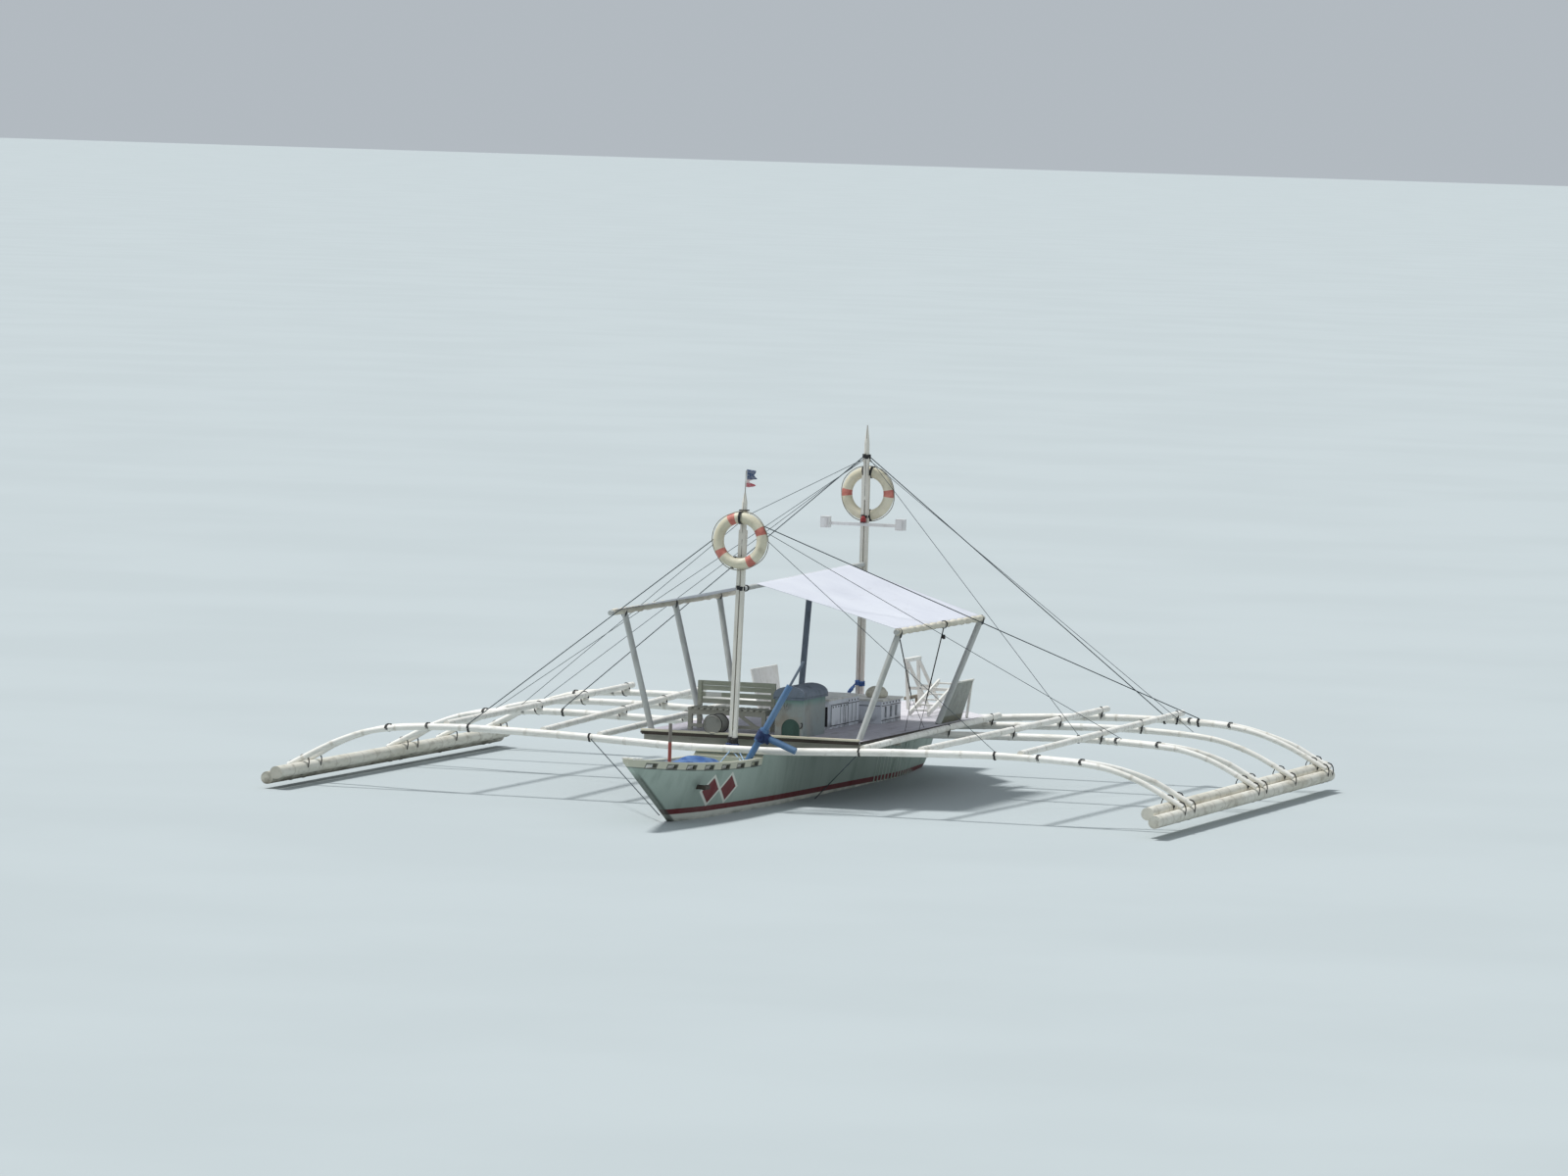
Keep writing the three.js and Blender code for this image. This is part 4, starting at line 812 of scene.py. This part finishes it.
LIFT = Vector((0, 0, 0.031))
starboard_edge = (along(EAVES["starboard"], 2.88), along(EAVES["starboard"], -1.88))
top_edge = (along(RIDGE, 2.5), along(RIDGE, -1.25))
port_edge = (along(EAVES["port"], 2.12), along(EAVES["port"], -1.42))
corners, wide, rows = [], 61, 73
for v in [k / (rows - 1) for k in range(rows)]:
    for u in [2 * j / (wide - 1) for j in range(wide)]:
        low, part = (starboard_edge, u) if u <= 1 else (port_edge, 2 - u)
        middle = math.sin(math.pi * part)
        p = low[0].lerp(low[1], v).lerp(top_edge[0].lerp(top_edge[1], v), part) + LIFT
        sag = 0.03 * middle * math.sin(math.pi * v) ** 0.6
        ripple = 0.006 * math.sin(9 * u + 5 * v) * math.sin(7 * math.pi * v) * middle
        corners.append((p.x - 0.045 * middle * (1 - 2 * v), p.y, p.z - sag + ripple))
awning = woven("awning_sheet", corners, wide, awning_cloth, 0.004, 1.0)
hem_cloth = plain_paint("rolled cream hem cloth", "#ddd8c8", "#bfb8a4", "#8c8271", (0.5, 2, 2), 0.6, 0.85)
hems = []
for side, first, last in (("port", 2.14, -1.44), ("starboard", 2.89, -1.89)):
    line = []
    for k in range(90):
        p = along(EAVES[side], first + (last - first) * k / 89)
        line.append(p + Vector((0, 0.004 * math.sin(k * 1.7), 0.002 + 0.004 * math.sin(k * 0.9))))
    hems.append(line)
swell = lambda p: 0.038 + 0.004 * math.sin(p[0] * 21) + 0.003 * math.sin(p[0] * 53 + 1)
hem = grown("awning_hem_rolls", cord, hems, swell, hem_cloth, {"Sides": 16, "Step": 0.035})
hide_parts("awning")

# Engine hood: plywood under grey-teal paint, browned and scuffed on its front, greener below the
# slate roof, with an arched hatch and its dark hook.
hood_paint, shader, place, colour = worn_finish(
    "grey teal paint on plywood", "#8fa0a2", "#9b958b", "#6e675c", (0.7, 0.7, 0.4), 0.7, 0.6)
axes = axes_of(place)
colour = tint(colour, "#56897f", times(band(axes["Z"], 1.22, 1.5, 0.05), 0.75))
front = band(axes["X"], 2.42, 2.6, 0.01)
low = times(front, band(axes["Z"], 0.7, 1.12, 0.12))
colour = tint(colour, "#8c7f70", times(low, grain(place, 6.0), 0.6))
smudge = times(front, band(axes["Y"], 0.31, 0.45, 0.03), band(axes["Z"], 1.15, 1.25, 0.03))
mark = times(smudge, grain(place, 22.0, (1, 1, 0.5), 3.0, 0.45, 0.6))
colour = tint(colour, "#4c4245", times(mark, 0.8))
feed(shader, {"Base Color": colour})
paint_node("engine_hood", hood_paint)
paint_node("hood_roof", slate_paint)

HATCH_Y, HATCH_HALF, HATCH_FOOT_Z, HATCH_SPRING_Z = 0.465, 0.111, 0.818, 0.925
green_paint = plain_paint("dark green hatch paint", "#3c5a50", "#31473f", "#222c28", (1, 1, 0.5), 0.6, 0.6)
outline = [(HATCH_Y - HATCH_HALF, HATCH_FOOT_Z), (HATCH_Y + HATCH_HALF, HATCH_FOOT_Z)]
for a in [math.pi * k / 16 for k in range(17)]:
    outline.append((HATCH_Y + HATCH_HALF * math.cos(a), HATCH_SPRING_Z + HATCH_HALF * math.sin(a)))
shape = bmesh.new()
face = shape.faces.new([shape.verts.new((2.4175, y, z)) for y, z in outline])
grow = bmesh.ops.extrude_face_region(shape, geom=[face])["geom"]
raised = [v for v in grow if isinstance(v, bmesh.types.BMVert)]
bmesh.ops.translate(shape, verts=raised, vec=(0.012, 0, 0))
bmesh.ops.recalc_face_normals(shape, faces=shape.faces)
settle("hood_hatch", mesh_of("hood_hatch", shape), green_paint)
hook = [(2.447, 0.6, 0.99), (2.462, 0.612, 0.995), (2.468, 0.622, 0.975), (2.465, 0.61, 0.94),
        (2.455, 0.59, 0.93)]
grown("hood_hook", cord, [smooth_line(hook, 6)], 0.008, dark_cord)
arch_rim = [board(1.535, 2.47, 0.243, 0.262, 1.272, 1.292), board(1.535, 2.47, 0.628, 0.647, 1.272, 1.292),
            board(2.441, 2.462, 0.262, 0.628, 1.262, 1.292)]
planks("hood_roof_battens", arch_rim, slate_paint, 0.003)

# Casing and locker: blue-grey painted plywood cupboards with white tops. Small vent holes run in a
# row below each top, and the panels are framed by dark joints.
panel_paint, shader, place, colour = worn_finish(
    "blue grey paint on plywood", "#eceff4", "#d3d7de", "#9a9b9f", (0.8, 0.8, 0.4), 0.5, 0.55)
grime = times(band(axes_of(place)["Z"], 0.7, 0.89, 0.04), grain(place, 9.0))
colour = tint(colour, "#6f7076", times(grime, 0.6))
feed(shader, {"Base Color": colour})
for name in ("casing", "casing_door", "locker"):
    paint_node(name, panel_paint)
for name in ("casing_roof", "locker_lid"):
    paint_node(name, white_paint)

dark_gap = plain_paint("dark open joint", "#26282b", "#34363a", "#141517", (1, 1, 1), 0.5, 0.9)
seams = [board(0.872, 0.884, 0.4855, 0.4885, 0.85, 1.115), board(0.185, 0.197, 0.4855, 0.4885, 0.85, 1.115),
         board(0.2, 0.87, 0.4855, 0.488, 0.852, 0.862), board(0.2, 0.87, 0.4855, 0.488, 1.103, 1.113),
         board(0.50, 0.508, 0.4855, 0.488, 0.87, 1.1), board(0.36, 0.37, 0.4855, 0.488, 0.88, 1.08),
         board(0.29, 0.30, 0.4855, 0.488, 0.87, 1.1)]
planks("door_joints", seams, dark_gap, 0.001, "casing_door")
seams = [board(-0.325, 0.16, 0.4655, 0.468, 0.85, 0.858), board(-0.325, 0.16, 0.4655, 0.468, 1.09, 1.098),
         board(0.9305, 0.934, 0.4, 0.455, 0.85, 1.09),
         board(-0.04, -0.03, 0.4655, 0.468, 0.86, 1.09), board(-0.2, -0.19, 0.4655, 0.468, 0.86, 1.09)]
planks("casing_joints", seams, dark_gap, 0.001)
seams = [board(-1.27, -0.47, 0.7155, 0.718, 0.85, 0.858), board(-1.27, -0.47, 0.7155, 0.718, 1.03, 1.038),
         board(-0.4595, -0.456, 0.11, 0.7, 1.03, 1.038)]
planks("locker_joints", seams, dark_gap, 0.001)

vents, sizes, out = tree_of("row of round vents", [
    ("Count", "NodeSocketInt", 6), ("Radius", "NodeSocketFloat", 0.011),
    ("Start", "NodeSocketVector", (0, 0, 0)), ("Pitch", "NodeSocketVector", (0.1, 0, 0))])
row = step(vents, "GeometryNodeMeshLine",
           {"Count": sizes["Count"], "Start Location": sizes["Start"], "Offset": sizes["Pitch"]})
plug = step(vents, "GeometryNodeMeshCylinder", {"Vertices": 14, "Radius": sizes["Radius"], "Depth": 0.006})
rows = step(vents, "GeometryNodeInstanceOnPoints", {"Points": row.outputs[0], "Instance": plug.outputs[0],
                                                    "Rotation": (math.pi / 2, 0, 0)})
dressed(vents, rows.outputs[0], sizes, out)
for name, count, start, pitch, body in (
        ("door_vents", 6, (0.25, 0.4875, 1.085), (0.112, 0, 0), "casing_door"),
        ("casing_vents", 4, (-0.27, 0.467, 1.125), (0.12, 0, 0), "canoe"),
        ("locker_vents", 6, (-1.2, 0.7165, 1.065), (0.13, 0, 0), "canoe")):
    grown(name, vents, [[(0, 0, 0), (0, 0, 0.01)]], 0.01, dark_gap,
                  {"Count": count, "Start": start, "Pitch": pitch}, body=body)

# a folded white cover on the locker's lid, flat below and softly bulged above
bundle = bmesh.new()
bmesh.ops.create_icosphere(bundle, subdivisions=4, radius=1.0)
for v in bundle.verts:
    wave = 0.05 * math.sin(5 * v.co.x + 2 * v.co.y) + 0.04 * math.sin(7 * v.co.y - 3 * v.co.z)
    v.co = Vector((v.co.x * 0.17, v.co.y * 0.13, max(v.co.z, -0.62) * 0.085)) * (1 + wave)
    v.co += Vector((-0.88, 0.52, 1.1675))
bundle = settle("folded_white_cover", mesh_of("cover_bundle", bundle), hem_cloth, "locker_lid", 80)

# Engine: a cast block in green enamel, dusty and oily, behind the casing's door.
engine_paint = plain_paint("oily green engine enamel", "#3f5a4a", "#2e4036", "#1d211e", (1, 1, 1), 0.7, 0.4)
paint_node("engine", engine_paint)
ribs = [board(0.09 + 0.08 * k, 0.12 + 0.08 * k, -0.05, 0.33, 0.93, 1.06) for k in range(8)]
planks("engine_fins", ribs, engine_paint, 0.004)

# Bench: painted slats on a timber frame, paint worn to grey wood along the edges, with a pale patch
# on the back's top board and a drum stowed beneath.
bench_paint, shader, place, colour = worn_finish(
    "worn olive paint on bench slats", "#c0beb0", "#a3a193", "#757164", (1, 0.25, 1), 0.7, 0.7)
axes = axes_of(place)
colour = tint(colour, "#a3a892", times(band(axes["Z"], 1.16, 1.5, 0.02), 0.6))
patch = times(band(axes["Y"], -0.86, -0.66, 0.01), band(axes["Z"], 1.2, 1.28, 0.01))
feed(shader, {"Base Color": tint(colour, "#e4e2da", patch)})
paint_node("bench", bench_paint)

DRUM_Y, DRUM_Z, DRUM_SIDES = -0.47, 0.9315, 32
drum_paint = plain_paint("dull grey drum paint", "#8d8b84", "#75736b", "#55524b", (1, 1, 1), 0.7, 0.5)
shape = bmesh.new()
profile = [(0, 0.0), (0.105, 0.0), (0.115, 0.006), (0.115, 0.3), (0.105, 0.308), (0.098, 0.296), (0, 0.296)]
rings = []
for radius, depth in profile:
    angles = [math.tau * j / DRUM_SIDES for j in range(DRUM_SIDES if radius else 1)]
    places = [(2.30 + depth, DRUM_Y + radius * math.cos(a), DRUM_Z + radius * math.sin(a)) for a in angles]
    rings.append([shape.verts.new(place) for place in places])
for a, b in zip(rings, rings[1:]):
    for j in range(DRUM_SIDES):
        corners = [a[j % len(a)], a[(j + 1) % len(a)], b[(j + 1) % len(b)], b[j % len(b)]]
        shape.faces.new(list(dict.fromkeys(corners)))
bmesh.ops.recalc_face_normals(shape, faces=shape.faces)
settle("stowed_drum", mesh_of("stowed_drum", shape), drum_paint)
hoops = [turns((x, DRUM_Y, DRUM_Z), (0, 0.1175, 0), (0, 0, 0.1175), (1, 0, 0), 0.004, 1, 32)
         for x in (2.33, 2.59)]
grown("drum_hoops", cord, hoops, 0.006, dark_cord)

# Side boards: plywood panels that lean outward over the deck's edges, the port one grey with an
# olive bottom plank, a cap and a diagonal brace, the starboard one white.
board_paint, shader, place, colour = worn_finish(
    "grey paint over plywood grain", "#a5a8a2", "#8b8d86", "#63655d", (8, 8, 0.5), 0.8, 0.7)
colour = tint(colour, "#6c6a55", times(band(axes_of(place)["Z"], 0.7, 0.9, 0.01), 0.8))
feed(shader, {"Base Color": colour})
paint_node("side_board_port", board_paint)
paint_node("side_board_starboard", white_paint)
brace = [straight((-1.93, 1.43, 1.29), (-2.2, 1.3, 0.82)), straight((-1.87, 1.46, 1.32), (-1.97, 1.36, 1.12))]
piece = grown("side_board_brace", cane, brace, 0.018, white_paint, {"Joint Height": 0.0, "Step": 0.1})
caps = [[(-1.17, 1.433, 1.3155), (-1.9, 1.433, 1.3155), (-1.9, 1.477, 1.3155), (-1.17, 1.477, 1.3155),
         (-1.17, 1.438, 1.333), (-1.9, 1.438, 1.333), (-1.9, 1.482, 1.333), (-1.17, 1.482, 1.333)]]
planks("side_board_cap", caps, white_paint, 0.004)

# Stern trestle and boarding ladder: white painted timber, chipped at the ends.
paint_node("stern_trestle", white_paint)
paint_node("boarding_ladder", white_paint)
bolts = []
for x in (-3.18, -3.68):
    for y, z in ((0.22, 1.42), (0.255, 1.09), (0.4, 1.09)):
        bolts.append([(x + 0.018, y, z), (x + 0.026, y, z)])
steel_bolt = plain_paint("galvanised bolt heads", "#8d9194", "#74777a", "#7a5a48", (1, 1, 1), 0.6, 0.45)
grown("trestle_bolts", cord, bolts, 0.011, steel_bolt, {"Sides": 6, "Step": 0.02})

# Foredeck gear: the bow post, grey above and red below; the pipe anchor in blue paint with a
# lashed hub; and the blue tarpaulin heaped in the well, with pale ties from the mast's foot.
post_paint, shader, place, colour = worn_finish(
    "chipped red and grey post paint", "#a9554d", "#8c4640", "#6a4a42", (1, 1, 0.3), 0.7, 0.6)
ripple = maths("ADD", axes_of(place)["Z"], times(grain(place, 9.0), 0.06))
feed(shader, {"Base Color": tint(colour, "#7d7670", band(ripple, 0.95, 2.0, 0.01))})
piece = grown("bow_post_round", cane, [straight((5.6, 0, 0.59), (5.6, 0, 1.15))], 0.0208, post_paint,
              {"Joint Height": 0.0, "Step": 0.02})
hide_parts("bow_post")

anchor_paint = plain_paint("blue paint on pipe", "#4a7099", "#6d88a3", "#33465a", (1, 1, 0.4), 0.7, 0.45)
x = 3.56
head, heel = Vector((x, 0.798, 1.513)), Vector((x, 0.262, 0.5285))
elbow = heel.lerp(head, 0.385)
pipes = {"shank": (heel, head, 0.0395, anchor_paint),
         "tip": (heel.lerp(head, 0.95), heel.lerp(head, 1.3), 0.016, slate_paint),
         "hub": (elbow.lerp(heel, 0.2), elbow.lerp(head, 0.12), 0.06, anchor_paint),
         "arm": (elbow, (x, elbow.y + 0.425, elbow.z - 0.168), 0.0415, anchor_paint)}
for word, (a, b, thickness, finish) in pipes.items():
    grown(f"pipe_anchor_{word}", cane, [straight(a, b)], thickness, finish,
                       {"Joint Height": 0.0, "Step": 0.04})
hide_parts("pipe_anchor")
shank = (head - heel).normalized()
hub = [turns(elbow.lerp(heel, 0.02), (0.063, 0, 0), shank.cross((1, 0, 0)) * 0.063, shank, 0.12, 9),
       turns((x, elbow.y + 0.07, elbow.z - 0.04), (0.05, 0, 0), (0, 0.02, 0.05), (0, 1, -0.5), 0.05, 4)]
navy_cord = cord_finish("navy lashing rope", "#24345c", "#3f5480")
grown("anchor_lashing", cord, hub, 0.008, navy_cord)
foot = [level_turns((3.24, 0, 0.74), 0.06, 0.075, 0.05, 5)]
grown("mast_foot_lashing", cord, foot, 0.011, navy_cord)

BULWARK, TARP_AFT_X, TARP_LENGTH = 0.038, 3.92, 1.54
tarp_cloth, shader, place = finish_named("blue woven tarpaulin")
colour = tint("#2c5796", "#7fa3cc", times(grain(place, 7.0, (1, 1, 1), 5.0, 0.35, 0.7), 0.55))
colour = tint(colour, "#1d3a68", times(grain(place, 16.0, (1, 0.6, 1), 4.0, 0.5, 0.75), 0.6))
feed(shader, {"Base Color": colour, "Roughness": 0.45})
relief(shader, grain(place, 28.0, (1, 1, 1), 5.0, 0.3, 0.7), 0.004)
rng = random.Random(7)
waves = [(rng.uniform(4, 17), rng.uniform(4, 17), rng.uniform(0, 6), rng.uniform(0.004, 0.012))
         for _ in range(9)]
# x, and how high the heap stands there
heights = [(3.92, 0.012), (4.05, 0.07), (4.2, 0.12), (4.5, 0.155), (4.85, 0.15), (5.1, 0.13), (5.3, 0.11),
           (5.46, 0.012)]
corners, wide, rows = [], 41, 71
for k in range(rows):
    x = TARP_AFT_X + TARP_LENGTH * k / (rows - 1)
    low = hull_top(x) - WELL_DEPTH
    room = hull_side(x, low) - BULWARK - 0.05
    half = room * (0.62 + 0.33 * math.sin(math.pi * k / (rows - 1)))
    top = np.interp(x, *zip(*heights))
    for t in [2 * j / (wide - 1) - 1 for j in range(wide)]:
        lump = sum(a * math.sin(p * x + q * t * half + s) for p, q, s, a in waves)
        rise = (1 - abs(t) ** 3) * max(0.004, top + lump * min(1, top / 0.05))
        corners.append((x, t * half * (1 + 0.05 * math.sin(9 * x)), low + 0.004 + rise))
tarp = woven("tarpaulin_heap", corners, wide, tarp_cloth, 0.003)
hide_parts("tarpaulin")
pale_cord = cord_finish("pale blue rope", "#8fb0cf", "#c3d3e2")
strands = [straight((3.28, 0.06, 0.75), (3.54, 0.25, 0.585)),
           straight((3.28, -0.05, 0.75), (3.53, 0.235, 0.56)),
           straight((3.3, 0.02, 0.72), (3.95, 0.03, 0.53))]
grown("foredeck_ties", cord, strands, 0.0075, pale_cord)

# Steering and drive under the stern: an oiled timber rudder with its tiller, a bronze propeller on
# its shaft and a galvanised strut.
rudder_wood = plain_paint("oiled rudder timber", "#8a7f6c", "#6d6352", "#464034", (0.5, 1, 1), 0.7, 0.6)
paint_node("rudder", rudder_wood)
bronze, shader, place = finish_named("cast bronze, tarnished by the sea")
patina = grain(place, 16.0, (1, 1, 1), 5.0, 0.4, 0.7)
feed(shader, {"Metallic": 0.9, "Base Color": tint("#a8854a", "#5d7a66", times(patina, 0.55)),
              "Roughness": ramp(patina, 0.0, 1.0, 0.3, 0.65)})
relief(shader, grain(place, 70.0), 0.0005)
paint_node("propeller", bronze)
galvanised, shader, place = finish_named("galvanised steel")
spangle = grain(place, 40.0, (1, 1, 1), 1.0, 0.4, 0.6)
feed(shader, {"Metallic": 0.8, "Base Color": tint("#8b9094", "#6d7276", spangle), "Roughness": 0.45})
relief(shader, spangle, 0.0004)
paint_node("shaft_strut", galvanised)
straps = [board(-4.36, -4.3, -0.016, 0.016, -0.2 - 0.12 * k, -0.17 - 0.12 * k) for k in range(2)]
planks("rudder_straps", straps, galvanised, 0.003, "rudder")

# Rigging: dark wire stays from both mastheads to the booms, lighter lines beside them, and the
# lines from the foremost boom down to the stem. All of it is stretched tight.
wire_finish = cord_finish("dark stranded wire", "#2c3a41", "#4c575c", 0.008)
for name in ("stay_fore_port", "stay_fore_starboard", "stay_aft_port", "stay_aft_starboard"):
    paint_node(name, wire_finish)

def on_boom(name, y, up=0.045):
    """A point on a boom's upper side, at a place across the boat"""
    return nearest(boom_lines[name], y) + Vector((0, 0, up))


mast_head, fore_head = aft_mast_at(4.05), fore_mast_at(3.45)
# which masthead each light stay leaves, by what shift, and the boom and the y where it ends
light = [straight(start + Vector(shift), on_boom(name, y), 30) for start, shift, name, y in (
    (mast_head, (0, 0.04, -0.03), "boom_2", 3.35), (mast_head, (0, 0.04, -0.05), "boom_3", 4.3),
    (mast_head, (0, -0.04, -0.03), "boom_3", -4.2), (mast_head, (0, -0.04, -0.05), "boom_2", -4.2),
    (fore_head, (0, 0.03, -0.03), "boom_1", 3.3), (fore_head, (-0.02, 0.03, -0.03), "boom_2", 3.9),
    (fore_head, (0, -0.03, -0.03), "boom_2", -3.9))]
light.append(straight(mast_head + Vector((0.03, 0, -0.02)), fore_head + Vector((-0.03, 0, 0.02)), 20))
grown("light_stays", cord, light, 0.0035, wire_finish, {"Step": 0.08})
bow_lines = [straight(on_boom("boom_1", -1.74, -0.005), (5.801, -0.04, 0.089), 20),
             straight(on_boom("boom_1", 1.6, -0.005), (1.353, 0.46, 0.004), 20)]
grown("bow_lines", cord, bow_lines, 0.006, wire_finish, {"Step": 0.08})
shackles = [turns(on_boom(name, y, 0), (0.048, 0, 0), (0, 0, 0.05), (0, 1, 0), 0.025, 3)
            for name, y in (("boom_4", 3.95), ("boom_1", -3.3), ("boom_4", 3.5), ("boom_2", -3.3),
                            ("boom_2", 3.35), ("boom_1", 3.3), ("boom_1", -1.74), ("boom_1", 1.6))]
grown("stay_seizings", cord, shackles, 0.0042, dark_cord)

# Floor and light: a plain pale floor at the water's level under soft studio light.
pale, shader, place = finish_named("plain pale floor")
feed(shader, {"Base Color": tint("#b2babb", "#afb7b8", grain(place, 0.15)), "Roughness": 0.9})
floor = bpy.data.meshes.new("floor")
FAR = 1500
floor.from_pydata([(-FAR, -FAR, 0), (FAR, -FAR, 0), (FAR, FAR, 0), (-FAR, FAR, 0)], [], [(0, 1, 2, 3)])
floor.materials.append(pale)
ground = bpy.data.objects.new("floor", floor)
scene.collection.objects.link(ground)

world = bpy.data.worlds.new("soft studio")
world.use_nodes = True
world.node_tree.nodes["Background"].inputs["Color"].default_value = linear("#dde6ee")
world.node_tree.nodes["Background"].inputs["Strength"].default_value = 0.62
scene.world = world
scene.view_settings.view_transform = "Standard"
key = bpy.data.objects.new("key", bpy.data.lights.new("key", "SUN"))
key.data.energy, key.data.angle = 3.1, math.radians(10)
key.rotation_euler = Vector((0.05, -0.42, 1.0)).to_track_quat("Z", "Y").to_euler()
scene.collection.objects.link(key)
